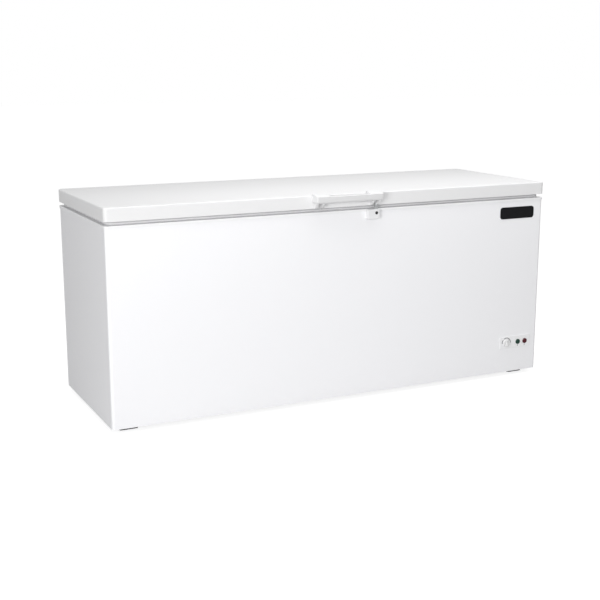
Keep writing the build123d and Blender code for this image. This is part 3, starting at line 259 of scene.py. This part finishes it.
def add_cells(tree, coordinates, scale, output, feature="F1"):
    """Cells that fill the space."""
    cells = tree.nodes.new("ShaderNodeTexVoronoi")
    cells.feature = feature
    cells.inputs["Scale"].default_value = scale
    tree.links.new(coordinates, cells.inputs["Vector"])
    return cells.outputs[output]


def add_range(tree, value, low, high):
    """A value from 0 to 1 stretched to a range."""
    stretch = tree.nodes.new("ShaderNodeMapRange")
    stretch.inputs["To Min"].default_value = low
    stretch.inputs["To Max"].default_value = high
    tree.links.new(value, stretch.inputs["Value"])
    return stretch.outputs["Result"]


def add_tint(tree, shader, value, tone, spread):
    """Base colour that wanders round a tone by a share of it."""
    mix = tree.nodes.new("ShaderNodeMix")
    mix.data_type = "RGBA"
    mix.inputs["A"].default_value = (*[c * (1 - spread) for c in tone], 1)
    mix.inputs["B"].default_value = (*[min(1, c * (1 + spread)) for c in tone], 1)
    tree.links.new(value, mix.inputs["Factor"])
    tree.links.new(mix.outputs["Result"], shader.inputs["Base Color"])


def add_gloss(tree, shader, value, gloss):
    """Roughness that follows a value over a range."""
    tree.links.new(add_range(tree, value, *gloss), shader.inputs["Roughness"])


def add_relief(tree, shader, height, depth):
    """Fine relief."""
    bump = tree.nodes.new("ShaderNodeBump")
    bump.inputs["Strength"].default_value = 1.0
    bump.inputs["Distance"].default_value = depth
    tree.links.new(height, bump.inputs["Height"])
    tree.links.new(bump.outputs["Normal"], shader.inputs["Normal"])


def plain_finish(name, tone, gloss, spread, grain, depth, metal=0.0, coat=0.0, cloud=5.0, shine=0.5):
    """A moulded, painted or plated surface: cloudy tone, uneven gloss and a fine grain."""
    material, tree, shader, coordinates = start_finish(name)
    clouds = add_noise(tree, coordinates, scale=cloud)
    add_tint(tree, shader, clouds, tone, spread)
    add_gloss(tree, shader, clouds, gloss)
    add_relief(tree, shader, add_noise(tree, coordinates, scale=grain, detail=3.0), depth)
    shader.inputs["Metallic"].default_value = metal
    shader.inputs["Specular IOR Level"].default_value = shine
    shader.inputs["Coat Weight"].default_value = coat
    shader.inputs["Coat Roughness"].default_value = 0.08
    return material


def embossed_finish(name, tone):
    """Aluminium sheet with a pressed pebble pattern."""
    material, tree, shader, coordinates = start_finish(name)
    pebbles = add_cells(tree, coordinates, scale=150.0, output="Distance", feature="SMOOTH_F1")
    add_tint(tree, shader, add_noise(tree, coordinates, scale=9.0), tone, spread=0.05)
    add_gloss(tree, shader, pebbles, gloss=(0.45, 0.33))
    add_relief(tree, shader, pebbles, depth=0.0010)
    shader.inputs["Metallic"].default_value = 1.0
    return material


def galvanised_finish(name, tone):
    """Zinc-coated sheet with its crystals."""
    material, tree, shader, coordinates = start_finish(name)
    crystals = tree.nodes.new("ShaderNodeSeparateColor")
    tree.links.new(add_cells(tree, coordinates, scale=70.0, output="Color"), crystals.inputs["Color"])
    add_tint(tree, shader, crystals.outputs["Red"], tone, spread=0.10)
    add_gloss(tree, shader, crystals.outputs["Green"], gloss=(0.34, 0.52))
    add_relief(tree, shader, add_noise(tree, coordinates, scale=260.0), depth=0.00006)
    shader.inputs["Metallic"].default_value = 0.85
    return material


def foam_finish(name, tone):
    """Rigid foam with small closed cells."""
    material, tree, shader, coordinates = start_finish(name)
    add_tint(tree, shader, add_noise(tree, coordinates, scale=12.0), tone, spread=0.12)
    add_relief(tree, shader, add_cells(tree, coordinates, scale=700.0, output="Distance"), depth=0.0006)
    shader.inputs["Roughness"].default_value = 0.9
    return material


def make_finishes():
    """All finishes, from the colours that the user set."""
    c = colours()
    plain_finish(
        "cabinet_enamel", c.cabinet, gloss=(0.32, 0.37), spread=0.004, grain=380.0, depth=0.000003,
        coat=0.25, cloud=45.0,
    )
    # Lid: white enamel with painted shade, darker than the cabinet's for the lesser light on its top and
    # sides
    plain_finish(
        "lid_enamel", c.lid, gloss=(0.36, 0.42), spread=0.004, grain=380.0, depth=0.000003,
        cloud=45.0, shine=0.35,
    )
    plain_finish("rim_moulding", c.rim, gloss=(0.34, 0.44), spread=0.015, grain=900.0, depth=0.00003)
    plain_finish("lid_lining", c.lining, gloss=(0.36, 0.48), spread=0.015, grain=700.0, depth=0.00004)
    plain_finish("handle_moulding", c.handle, gloss=(0.32, 0.40), spread=0.012, grain=900.0, depth=0.00002)
    plain_finish(
        "lock_housing", c.lock, gloss=(0.36, 0.44), spread=0.015, grain=900.0, depth=0.00002, shine=0.3
    )
    # Seal: light grey rubber with painted shade for the shade under the lid's overhang
    plain_finish("gasket_seal", c.gasket, gloss=(0.55, 0.70), spread=0.05, grain=600.0, depth=0.00006)
    embossed_finish("embossed_liner", c.liner)
    galvanised_finish("galvanised_sheet", c.sheet)
    plain_finish(
        "zinc_plating", c.zinc, gloss=(0.33, 0.45), spread=0.06, grain=500.0, depth=0.00004,
        metal=1.0, cloud=60.0,
    )
    plain_finish(
        "spring_steel", c.spring, gloss=(0.33, 0.44), spread=0.10, grain=800.0, depth=0.00003,
        metal=1.0, cloud=90.0,
    )
    plain_finish(
        "bezel_moulding", c.bezel, gloss=(0.45, 0.55), spread=0.012, grain=1200.0, depth=0.00003, shine=0.2
    )
    plain_finish("knob_moulding", c.knob, gloss=(0.32, 0.40), spread=0.012, grain=900.0, depth=0.00002)
    plain_finish(
        "printed_ink", c.ink, gloss=(0.50, 0.60), spread=0.06, grain=1500.0, depth=0.00001, cloud=200.0
    )
    for lens, tone in (("green_lens", c.lamp_green), ("red_lens", c.lamp_red)):
        plain_finish(
            lens, tone, gloss=(0.18, 0.24), spread=0.15, grain=700.0, depth=0.00002, coat=0.1, cloud=300.0
        )
    plain_finish(
        "plate_enamel", c.plate, gloss=(0.40, 0.50), spread=0.20, grain=500.0, depth=0.00002,
        cloud=40.0, shine=0.15,
    )
    plain_finish("foot_moulding", c.foot, gloss=(0.55, 0.70), spread=0.10, grain=500.0, depth=0.00008)
    plain_finish(
        "black_enamel", c.black, gloss=(0.33, 0.45), spread=0.20, grain=300.0, depth=0.00008, cloud=20.0
    )
    plain_finish(
        "black_rubber", c.black, gloss=(0.60, 0.80), spread=0.20, grain=700.0, depth=0.00008, cloud=30.0
    )
    plain_finish(
        "copper_pipe", c.copper, gloss=(0.33, 0.48), spread=0.22, grain=300.0, depth=0.00004,
        metal=1.0, cloud=25.0,
    )
    plain_finish("basket_coating", c.basket, gloss=(0.33, 0.44), spread=0.02, grain=500.0, depth=0.00008)
    plain_finish("grey_moulding", c.grey, gloss=(0.45, 0.60), spread=0.05, grain=600.0, depth=0.00006)
    foam_finish("foam_cells", c.foam)


nodes_of_finish = {
    "cabinet_enamel": ["outer_wrapper"],
    "lid_enamel": ["lid_skin"],
    "rim_moulding": ["top_frame", "side_grille"],
    "lid_lining": ["lid_panel", "drain_tube", "drain_plug"],
    "handle_moulding": ["handle"],
    "lock_housing": ["lock_body"],
    "gasket_seal": ["lid_gasket"],
    "embossed_liner": ["inner_liner", "evaporator_coil"],
    "galvanised_sheet": ["back_panel", "base_tray", "bay_lining", "rear_cover"],
    "zinc_plating": [
        "hinge_base_left", "hinge_base_right", "hinge_leaf_left", "hinge_leaf_right", "hinge_base_screws",
        "hinge_leaf_screws", "rear_cover_screws", "foot_screws", "handle_screws", "compressor_bolts",
        "lock_hook",
    ],
    "spring_steel": ["hinge_pin_left", "hinge_pin_right", "hinge_spring_left", "hinge_spring_right"],
    "bezel_moulding": ["control_bezel"],
    "knob_moulding": ["thermostat_knob"],
    "green_lens": ["power_lamp"],
    "red_lens": ["alarm_lamp"],
    "foot_moulding": ["feet"],
    "black_enamel": ["compressor", "compressor_plate", "condenser_coil", "lock_barrel"],
    "black_rubber": ["cord_gland", "compressor_grommets", "relay_cover", "gasket_magnet"],
    "copper_pipe": ["discharge_pipe", "suction_pipe", "filter_drier", "capillary_pipe"],
    "basket_coating": ["basket_floor", "basket_front", "basket_back", "basket_left", "basket_right"],
    "grey_moulding": ["thermostat_body"],
    "foam_cells": ["foam_insulation", "lid_foam"],
}


def finish(piece, name):
    """Give a piece one finish all over."""
    piece.data.materials.clear()
    piece.data.materials.append(bpy.data.materials[name])


# Modelling

def fresh():
    """Back to object mode with nothing selected."""
    if bpy.context.object and bpy.context.object.mode != "OBJECT":
        bpy.ops.object.mode_set(mode="OBJECT")
    bpy.ops.object.select_all(action="DESELECT")


def select(piece):
    """Select one piece alone and make it the active one."""
    fresh()
    bpy.context.view_layer.objects.active = piece
    piece.select_set(True)


def named(name):
    """Name the piece just added and put its place into its mesh."""
    piece = bpy.context.object
    piece.name = name
    piece.data.name = name
    bpy.ops.object.transform_apply(location=True, rotation=True, scale=True)
    return piece


def edit(piece):
    """Edit one piece with all of it selected."""
    select(piece)
    bpy.ops.object.mode_set(mode="EDIT")
    bpy.ops.mesh.select_mode(type="VERT")
    bpy.ops.mesh.select_all(action="SELECT")


def pick(piece, kind, test):
    """Select only the edges or faces that pass a test."""
    bpy.ops.mesh.select_all(action="DESELECT")
    bpy.ops.mesh.select_mode(type={"edges": "EDGE", "faces": "FACE"}[kind])
    form = bmesh.from_edit_mesh(piece.data)
    for part in getattr(form, kind):
        if test(part):
            part.select_set(True)
    form.select_flush_mode()
    bmesh.update_edit_mesh(piece.data)


def middle(part):
    """Middle of an edge or face."""
    return sum((v.co for v in part.verts), Vector()) / len(part.verts)


def extrude(step):
    """Carry what is selected along a step."""
    bpy.ops.mesh.extrude_region_move(TRANSFORM_OT_translate={"value": step})


def draw_loop(name, points):
    """A closed loop of edges, drawn from corner to corner and left selected."""
    fresh()
    bpy.ops.mesh.primitive_plane_add(size=speck, location=points[0])
    piece = named(name)
    edit(piece)
    bpy.ops.mesh.merge(type="CENTER")
    for here, there in zip(points, points[1:]):
        bpy.ops.mesh.extrude_vertices_move(TRANSFORM_OT_translate={"value": there - here})
    bpy.ops.mesh.select_all(action="SELECT")
    bpy.ops.mesh.edge_face_add()
    bpy.ops.mesh.delete(type="ONLY_FACE")
    bpy.ops.mesh.select_all(action="SELECT")
    return piece


def draw_circle(name, centre, heading, radius, sides):
    """A circle of edges across a heading, left selected."""
    fresh()
    turn = heading.to_track_quat("Z", "Y").to_euler()
    bpy.ops.mesh.primitive_circle_add(
        vertices=sides, radius=radius, fill_type="NOTHING", location=centre, rotation=turn
    )
    piece = named(name)
    edit(piece)
    return piece


def sweep(points, bend, steps):
    """Carry the selected loop along straight runs that are joined by round bends."""
    points = [Vector(p) for p in points]
    here = points[0]
    for corner, after in zip(points[1:], points[2:]):
        heading = (corner - here).normalized()
        leaving = (after - corner).normalized()
        angle = heading.angle(leaving)
        trim = bend * tan(angle / 2)
        begin = corner - heading * trim
        extrude(begin - here)
        axis = heading.cross(leaving).normalized()
        centre = begin + axis.cross(heading) * bend
        bpy.ops.mesh.spin(steps=steps, angle=-angle, center=centre, axis=axis)
        here = corner + leaving * trim
    extrude(points[-1] - here)


def close_up(piece, sides):
    """Join what meets, cap open ends of so many sides, face outwards and shade smoothly."""
    bpy.ops.mesh.select_all(action="SELECT")
    bpy.ops.mesh.remove_doubles(threshold=weld_gap)
    bpy.ops.mesh.fill_holes(sides=sides)
    bpy.ops.mesh.select_all(action="SELECT")
    bpy.ops.mesh.normals_make_consistent(inside=False)
    bpy.ops.object.mode_set(mode="OBJECT")
    bpy.ops.object.shade_smooth_by_angle(angle=smooth_angle)
    return piece


def row(piece, number, step):
    """Repeat a piece along a line."""
    modifier = piece.modifiers.new("row", "ARRAY")
    modifier.count = number
    modifier.use_relative_offset = False
    modifier.use_constant_offset = True
    modifier.constant_offset_displace = step
    select(piece)
    bpy.ops.object.modifier_apply(modifier=modifier.name)


def copy_to(piece, name, step):
    """A copy of a piece, moved by a step."""
    select(piece)
    bpy.ops.object.duplicate()
    bpy.ops.transform.translate(value=step)
    return named(name)


def copy_turned(piece, name, centre):
    """A copy of a piece, turned half round an upright axis."""
    select(piece)
    bpy.ops.object.duplicate()
    bpy.ops.transform.rotate(value=pi, orient_axis="Z", center_override=centre)
    return named(name)


def join(name, pieces):
    """Make one piece of several."""
    fresh()
    for piece in pieces:
        piece.select_set(True)
    bpy.context.view_layer.objects.active = pieces[0]
    bpy.ops.object.join()
    pieces[0].name = name
    pieces[0].data.name = name
    return pieces[0]


def bar(name, low, high, corner=0.0):
    """A block between two corners, with round corners as seen from the front."""
    low, high = Vector(low), Vector(high)
    fresh()
    bpy.ops.mesh.primitive_cube_add(size=1, location=(low + high) / 2, scale=high - low)
    piece = named(name)
    edit(piece)
    if corner:
        half_depth = (high.y - low.y) / 2
        pick(piece, "edges", lambda e: abs(e.verts[0].co.y - e.verts[1].co.y) > half_depth)
        bpy.ops.mesh.bevel(offset=corner, segments=3, affect="EDGES")
    return close_up(piece, 4)


def fit(piece, body, look, slot, *nodes):
    """Finish a piece, let it ride on a body and stand for the nodes that it replaces."""
    finish(piece, look)
    if body:
        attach(piece, body)
    if nodes:
        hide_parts(*nodes)
    return piece


class FREEZER_OT_finishes(bpy.types.Operator):
    """Give every solid its finish"""

    bl_idname = "freezer.finishes"
    bl_label = "Finish the solids"

    def execute(self, context):
        make_finishes()
        for look, nodes in nodes_of_finish.items():
            for node in nodes:
                finish(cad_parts[node], look)
        return {"FINISHED"}


class FREEZER_OT_gasket(bpy.types.Operator):
    """Model the folded seal that runs round under the lid"""

    bl_idname = "freezer.gasket"
    bl_label = "Lid gasket"

    # Outer half of the section, from the foot up, as shares of the seal's width and height
    outline = [
        (0.26, 0.0), (0.22, 0.09), (0.10, 0.15), (0.05, 0.23), (0.03, 0.36), (0.03, 0.52), (0.07, 0.60),
        (0.18, 0.66), (0.18, 0.82), (0.0, 0.90), (0.0, 1.0),
    ]

    def execute(self, context):
        s = sizes()
        low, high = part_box("lid_gasket")
        mirrored = [(1 - inward, rise) for inward, rise in reversed(self.outline)]
        section = [
            Vector((0, low.y + inward * s.gasket_width, low.z + rise * (high.z - low.z)))
            for inward, rise in self.outline + mirrored
        ]
        seal = draw_loop("folded_gasket", section)
        z = low.z
        route = [
            (0, low.y, z), (high.x, low.y, z), (high.x, high.y, z), (low.x, high.y, z), (low.x, low.y, z),
            (0, low.y, z),
        ]
        sweep(route, s.gasket_bend, gasket_steps)
        close_up(seal, 0)
        fit(seal, "lid", "gasket_seal", "gasket_rubber", "lid_gasket")
        return {"FINISHED"}


class FREEZER_OT_hinge_springs(bpy.types.Operator):
    """Wind the two springs that carry the lid's weight"""

    bl_idname = "freezer.hinge_springs"
    bl_label = "Hinge springs"

    def execute(self, context):
        reach = right * sizes().spring_length / 2
        axes = {}
        for side in ("left", "right"):
            low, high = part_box(f"hinge_pin_{side}")
            axes[side] = (low + high) / 2
        left_spring = self.wind("wound_spring_left", axes["left"] - reach, axes["left"] + reach)
        right_spring = copy_to(left_spring, "wound_spring_right", axes["right"] - axes["left"])
        for side, spring in (("left", left_spring), ("right", right_spring)):
            fit(spring, None, "spring_steel", "spring_steel", f"hinge_spring_{side}")
            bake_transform(spring)
        return {"FINISHED"}

    def wind(self, name, start, end):
        """One coil between two points of the hinge's axis, with a straight leg at each end."""
        s = sizes()
        fresh()
        bpy.ops.mesh.primitive_circle_add(
            vertices=coil_sides, radius=s.spring_wire / 2, fill_type="NOTHING", location=start
        )
        spring = bpy.context.object
        edit(spring)
        bpy.ops.transform.translate(value=-back * s.spring_radius)
        bpy.ops.object.mode_set(mode="OBJECT")
        coil = spring.modifiers.new("coil", "SCREW")
        coil.axis = "X"
        coil.angle = -2 * pi
        coil.screw_offset = s.spring_length / s.spring_turns
        coil.iterations = s.spring_turns
        coil.steps = coil_steps
        coil.render_steps = coil_steps
        bpy.ops.object.modifier_apply(modifier=coil.name)
        named(name)
        edit(spring)
        for end_x, way in ((start.x, -1), (end.x, 1)):
            pick(spring, "edges", lambda e: e.is_boundary and abs(middle(e).x - end_x) < s.spring_wire)
            extrude(up * way * s.spring_leg)
        return close_up(spring, coil_sides)


class FREEZER_OT_basket(bpy.types.Operator):
    """Bend and weld the wire basket"""

    bl_idname = "freezer.basket"
    bl_label = "Wire basket"

    def execute(self, context):
        s = sizes()
        low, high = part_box("basket_floor")
        wire = s.basket_wire / 2
        rim = s.basket_rim / 2
        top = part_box("basket_left")[1].z - rim
        floor_z = low.z + wire
        near, far = low.y + wire, high.y - wire
        left_x, right_x = low.x + wire, high.x - wire

        x = low.x + s.basket_pitch / 2
        route = [(x, near, top), (x, near, floor_z), (x, far, floor_z), (x, far, top)]
        long_wires = self.wires("long_wires", route, right, high.x - low.x)

        y = low.y + s.basket_pitch / 2
        cross_z = floor_z + 2 * wire
        route = [(left_x, y, top), (left_x, y, cross_z), (right_x, y, cross_z), (right_x, y, top)]
        cross_wires = self.wires("cross_wires", route, back, high.y - low.y)

        rise = (top - floor_z) / (s.hoop_count + 1)
        bands = self.hoop("band_wires", floor_z + rise, wire, 3 * wire)
        row(bands, s.hoop_count, up * rise)
        rim_wire = self.hoop("rim_wire", top, rim, wire)

        front_low, front_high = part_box("basket_front")
        hook_z = front_high.z - wire
        tip_y = near - (low.y - front_low.y - wire)
        begin = low.x + s.hook_margin
        end = begin + s.hook_width
        near_hooks = draw_circle("near_hooks", (begin, near, top), up, wire, wire_sides)
        route = [
            (begin, near, top), (begin, near, hook_z), (begin, tip_y, hook_z),
            (end, tip_y, hook_z), (end, near, hook_z), (end, near, top),
        ]
        sweep(route, s.hook_bend, wire_steps)
        close_up(near_hooks, wire_sides)
        row(near_hooks, 2, right * (high.x - low.x - s.hook_width - 2 * s.hook_margin))
        far_hooks = copy_turned(near_hooks, "far_hooks", (low + high) / 2)

        basket = join("wire_basket", [long_wires, cross_wires, bands, rim_wire, near_hooks, far_hooks])
        fit(
            basket, "basket", "basket_coating", "basket_coat",
            "basket_floor", "basket_front", "basket_back", "basket_left", "basket_right",
        )
        return {"FINISHED"}

    def wires(self, name, route, way, width):
        """Bent wires side by side over a width, half a pitch in from each end."""
        s = sizes()
        wires = draw_circle(name, route[0], -up, s.basket_wire / 2, wire_sides)
        sweep(route, s.basket_bend, wire_steps)
        close_up(wires, wire_sides)
        number = round(width / s.basket_pitch)
        row(wires, number, way * (width - s.basket_pitch) / (number - 1))
        return wires

    def hoop(self, name, z, radius, inward):
        """A closed wire round the basket."""
        low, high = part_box("basket_floor")
        left_x, right_x = low.x + inward, high.x - inward
        near, far = low.y + inward, high.y - inward
        start = ((left_x + right_x) / 2, near, z)
        ring = draw_circle(name, start, right, radius, hoop_sides)
        corners = [(right_x, near, z), (right_x, far, z), (left_x, far, z), (left_x, near, z)]
        sweep([start, *corners, start], sizes().hoop_bend, hoop_steps)
        return close_up(ring, 0)


class FREEZER_OT_screws(bpy.types.Operator):
    """Turn the cross-head screws of the hinges and the rear cover"""

    bl_idname = "freezer.screws"
    bl_label = "Cross-head screws"

    def execute(self, context):
        s = sizes()
        groups = [
            ("hinge_base_screws", "cabinet", self.hinge_base_places()),
            ("hinge_leaf_screws", "lid", self.hinge_leaf_places()),
            ("rear_cover_screws", "cabinet", self.rear_cover_places()),
        ]
        model = self.screw("screw_model")
        for node, body, places in groups:
            seat_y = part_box(node)[1].y - s.screw_rise
            screws = [copy_to(model, f"{node}_copy", (x, seat_y, z)) for x, z in places]
            fit(join(f"cross_head_{node}", screws), body, "zinc_plating", "zinc", node)
        bpy.data.objects.remove(model)
        return {"FINISHED"}

    def hinge_base_places(self):
        """Four corners of each hinge base."""
        s = sizes()
        low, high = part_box("hinge_base_screws")
        places = []
        for side in ("left", "right"):
            base_low, base_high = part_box(f"hinge_base_{side}")
            for x in (base_low.x + s.screw_margin, base_high.x - s.screw_margin):
                for z in (low.z + s.screw_head, high.z - s.screw_head):
                    places.append((x, z))
        return places

    def hinge_leaf_places(self):
        """Two on each hinge leaf, either side of its pin."""
        low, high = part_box("hinge_leaf_screws")
        pin_low, pin_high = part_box("hinge_pin_right")
        outer = high.x - sizes().screw_head
        inner = pin_low.x + pin_high.x - outer
        return [(x, (low.z + high.z) / 2) for x in (-outer, -inner, inner, outer)]

    def rear_cover_places(self):
        """Four corners of the rear cover."""
        head = sizes().screw_head
        low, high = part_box("rear_cover_screws")
        return [(x, z) for x in (low.x + head, high.x - head) for z in (low.z + head, high.z - head)]

    def screw(self, name):
        """One pan head with a cross recess, seated at the origin and facing the back."""
        s = sizes()
        top = back * s.screw_rise
        fresh()
        bpy.ops.mesh.primitive_cylinder_add(
            vertices=head_sides, radius=s.screw_head, depth=s.screw_rise, location=top / 2,
            rotation=(pi / 2, 0, 0),
        )
        screw = named(name)
        edit(screw)
        pick(screw, "edges", lambda e: abs(middle(e).y - top.y) < near_enough)
        head_rounding = 0.45 * s.screw_rise
        bpy.ops.mesh.bevel(offset=head_rounding, segments=3, affect="EDGES")
        bpy.ops.object.mode_set(mode="OBJECT")
        for width, height in ((s.cross_length, s.cross_width), (s.cross_width, s.cross_length)):
            half = Vector((width / 2, s.cross_depth, height / 2))
            cutter = bar("cutter", top - half, top + half)
            cut = screw.modifiers.new("cross", "BOOLEAN")
            cut.object = cutter
            cut.operation = "DIFFERENCE"
            cut.solver = "EXACT"
            select(screw)
            bpy.ops.object.modifier_apply(modifier=cut.name)
            bpy.data.objects.remove(cutter)
        bpy.ops.object.shade_smooth_by_angle(angle=smooth_angle)
        return screw


class FREEZER_OT_control_marks(bpy.types.Operator):
    """Print the dial round the knob, its pointer and the marks under the lamps"""

    bl_idname = "freezer.control_marks"
    bl_label = "Control marks"

    # The dial's arc runs clockwise in two stretches: where each starts and how far it turns
    stretches = [(radians(187), radians(47)), (radians(126), radians(131))]

    def execute(self, context):
        s = sizes()
        thick = s.print_thickness
        face_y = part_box("control_bezel")[0].y
        knob_low, knob_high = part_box("thermostat_knob")
        knob_x = (knob_low.x + knob_high.x) / 2
        knob_z = (knob_low.z + knob_high.z) / 2
        marks = self.dial(Vector((knob_x, face_y, knob_z)))

        lamp_low, lamp_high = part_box("power_lamp")
        lamp_x = (lamp_low.x + lamp_high.x) / 2
        tick_top = lamp_low.z - s.tick_gap
        tick = bar(
            "lamp_tick",
            (lamp_x - s.tick_width / 2, face_y - thick, tick_top - s.tick_length),
            (lamp_x + s.tick_width / 2, face_y, tick_top),
            s.tick_corner,
        )
        marks += [tick, copy_to(tick, "other_tick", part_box("alarm_lamp")[0] - lamp_low)]
        fit(join("control_marks", marks), "cabinet", "printed_ink", "grey_plastic")

        pointer = bar(
            "knob_pointer",
            (knob_x - s.pointer_width / 2, knob_low.y - thick, knob_z + s.pointer_start),
            (knob_x + s.pointer_width / 2, knob_low.y + thick, knob_z + s.pointer_end),
            s.pointer_corner,
        )
        fit(pointer, "thermostat_knob", "printed_ink", "grey_plastic")
        return {"FINISHED"}

    def dial(self, centre):
        """The stretches of the arc round a point of the control panel's face."""
        s = sizes()
        inner = s.dial_radius - s.dial_width / 2
        outer = s.dial_radius + s.dial_width / 2
        proud = -back * s.print_thickness
        arcs = []
        for start, stretch in self.stretches:
            spoke = Vector((cos(start), 0, sin(start)))
            near, far = centre + spoke * inner, centre + spoke * outer
            arc = draw_loop("dial_arc", [near, far, far + proud, near + proud])
            bpy.ops.mesh.spin(steps=dial_steps, angle=-stretch, center=centre, axis=back)
            arcs.append(close_up(arc, 4))
        return arcs


class FREEZER_OT_front_plate(bpy.types.Operator):
    """Fix a plain dark plate to the front"""

    bl_idname = "freezer.front_plate"
    bl_label = "Blank front plate"

    def execute(self, context):
        s = sizes()
        low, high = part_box("outer_wrapper")
        centre = Vector((high.x - s.plate_from_side, low.y, high.z - s.plate_from_top))
        fresh()
        bpy.ops.mesh.primitive_plane_add(size=1, location=centre, rotation=(pi / 2, 0, 0))
        plate = named("blank_plate")
        edit(plate)
        bpy.ops.transform.resize(value=(s.plate_width, 1, s.plate_height), center_override=centre)
        bpy.ops.mesh.bevel(offset=s.plate_corner, segments=6, affect="VERTICES")
        extrude(-back * s.plate_thickness)
        front_y = low.y - s.plate_thickness
        half_area = s.plate_width * s.plate_height / 2

        def in_front(part):
            """Whether an edge or face lies in the plate's front."""
            return abs(middle(part).y - front_y) < near_enough

        pick(plate, "edges", in_front)
        bpy.ops.mesh.bevel(offset=s.plate_edge, segments=3, affect="EDGES")
        pick(plate, "faces", lambda f: in_front(f) and f.calc_area() > half_area)
        bpy.ops.mesh.inset(thickness=s.plate_border)
        extrude(back * s.plate_recess)
        close_up(plate, 0)
        fit(plate, "cabinet", "plate_enamel", "black_plastic")
        return {"FINISHED"}


class FREEZER_OT_studio(bpy.types.Operator):
    """Set up the floor, the soft light and the camera"""

    bl_idname = "freezer.studio"
    bl_label = "Studio"

    def execute(self, context):
        studio = context.scene.freezer_studio
        context.scene.view_settings.view_transform = "Standard"
        self.floor(studio)
        self.world(studio)
        for lamp in ("key", "fill", "top"):
            self.softbox(studio, lamp)
        self.camera(studio)
        return {"FINISHED"}

    def camera(self, studio):
        """The camera that looks at the front from the left."""
        fresh()
        bpy.ops.object.camera_add(location=studio.camera_place)
        camera = bpy.context.object
        camera.name = "front_camera"
        camera.rotation_euler = Vector(studio.camera_heading).to_track_quat("-Z", "Y").to_euler()
        camera.data.lens = studio.lens
        camera.data.sensor_width = studio.sensor
        bpy.context.scene.camera = camera

    def softbox(self, studio, name):
        """A soft lamp that points at a place."""
        fresh()
        stand = Vector(getattr(studio, f"{name}_place"))
        heading = Vector(getattr(studio, f"{name}_aim")) - stand
        turn = heading.to_track_quat("-Z", "Y").to_euler()
        bpy.ops.object.light_add(type="AREA", location=stand, rotation=turn)
        lamp = bpy.context.object
        lamp.name = f"{name}_softbox"
        lamp.data.shape = "RECTANGLE"
        lamp.data.size = getattr(studio, f"{name}_width")
        lamp.data.size_y = getattr(studio, f"{name}_depth")
        lamp.data.energy = getattr(studio, f"{name}_power")

    def floor(self, studio):
        """A pale floor that is white to the camera where no shadow falls."""
        fresh()
        bpy.ops.mesh.primitive_plane_add(size=studio.floor_size)
        floor = named("studio_floor")
        material, tree, shader, coordinates = start_finish("floor_paint")
        add_tint(tree, shader, add_noise(tree, coordinates, scale=1.5), studio.floor, spread=0.01)
        shader.inputs["Roughness"].default_value = 0.9
        shader.inputs["Specular IOR Level"].default_value = 0.0
        shader.inputs["Emission Color"].default_value = (1, 1, 1, 1)
        seen = tree.nodes.new("ShaderNodeLightPath")
        strength = tree.nodes.new("ShaderNodeMath")
        strength.operation = "MULTIPLY"
        strength.inputs[1].default_value = studio.floor_glow
        tree.links.new(seen.outputs["Is Camera Ray"], strength.inputs[0])
        tree.links.new(strength.outputs["Value"], shader.inputs["Emission Strength"])
        floor.data.materials.append(material)

    def world(self, studio):
        """White to the camera and in reflections, and a plain soft light for the rest."""
        world = bpy.data.worlds.new("studio_world")
        bpy.context.scene.world = world
        world.use_nodes = True
        tree = world.node_tree
        shade = tree.nodes["Background"]
        shade.inputs["Color"].default_value = (1, 1, 1, 1)
        seen = tree.nodes.new("ShaderNodeLightPath")
        total = seen.outputs["Is Camera Ray"]
        for ray in ("Is Glossy Ray", "Is Transmission Ray"):
            both = tree.nodes.new("ShaderNodeMath")
            both.operation = "MAXIMUM"
            tree.links.new(total, both.inputs[0])
            tree.links.new(seen.outputs[ray], both.inputs[1])
            total = both.outputs["Value"]
        tree.links.new(add_range(tree, total, studio.ambient, 1.0), shade.inputs["Strength"])


class FREEZER_PT_sidebar(bpy.types.Panel):
    """Lists the freezer's operators and settings"""

    bl_idname = "FREEZER_PT_sidebar"
    bl_label = "Chest freezer"
    bl_space_type = "VIEW_3D"
    bl_region_type = "UI"
    bl_category = "Freezer"

    def draw(self, context):
        for step in steps:
            self.layout.operator(step.bl_idname)
        for name, group in settings.items():
            box = self.layout.box()
            for value in group.__annotations__:
                box.prop(getattr(context.scene, name), value)


steps = [
    FREEZER_OT_finishes,
    FREEZER_OT_gasket,
    FREEZER_OT_hinge_springs,
    FREEZER_OT_basket,
    FREEZER_OT_screws,
    FREEZER_OT_control_marks,
    FREEZER_OT_front_plate,
    FREEZER_OT_studio,
]
settings = {
    "freezer_colours": FreezerColours,
    "freezer_sizes": FreezerSizes,
    "freezer_studio": FreezerStudio,
}
classes = [*settings.values(), *steps, FREEZER_PT_sidebar]


def register():
    """Add the classes and the scene's settings."""
    for made in classes:
        bpy.utils.register_class(made)
    for name, group in settings.items():
        setattr(bpy.types.Scene, name, PointerProperty(type=group))


def unregister():
    """Take the settings and the classes away again."""
    for name in settings:
        delattr(bpy.types.Scene, name)
    for made in reversed(classes):
        bpy.utils.unregister_class(made)


def main():
    """Dress the freezer."""
    register()
    for step in steps:
        group, operator = step.bl_idname.split(".")
        getattr(getattr(bpy.ops, group), operator)()


if __name__ == "__main__":
    main()
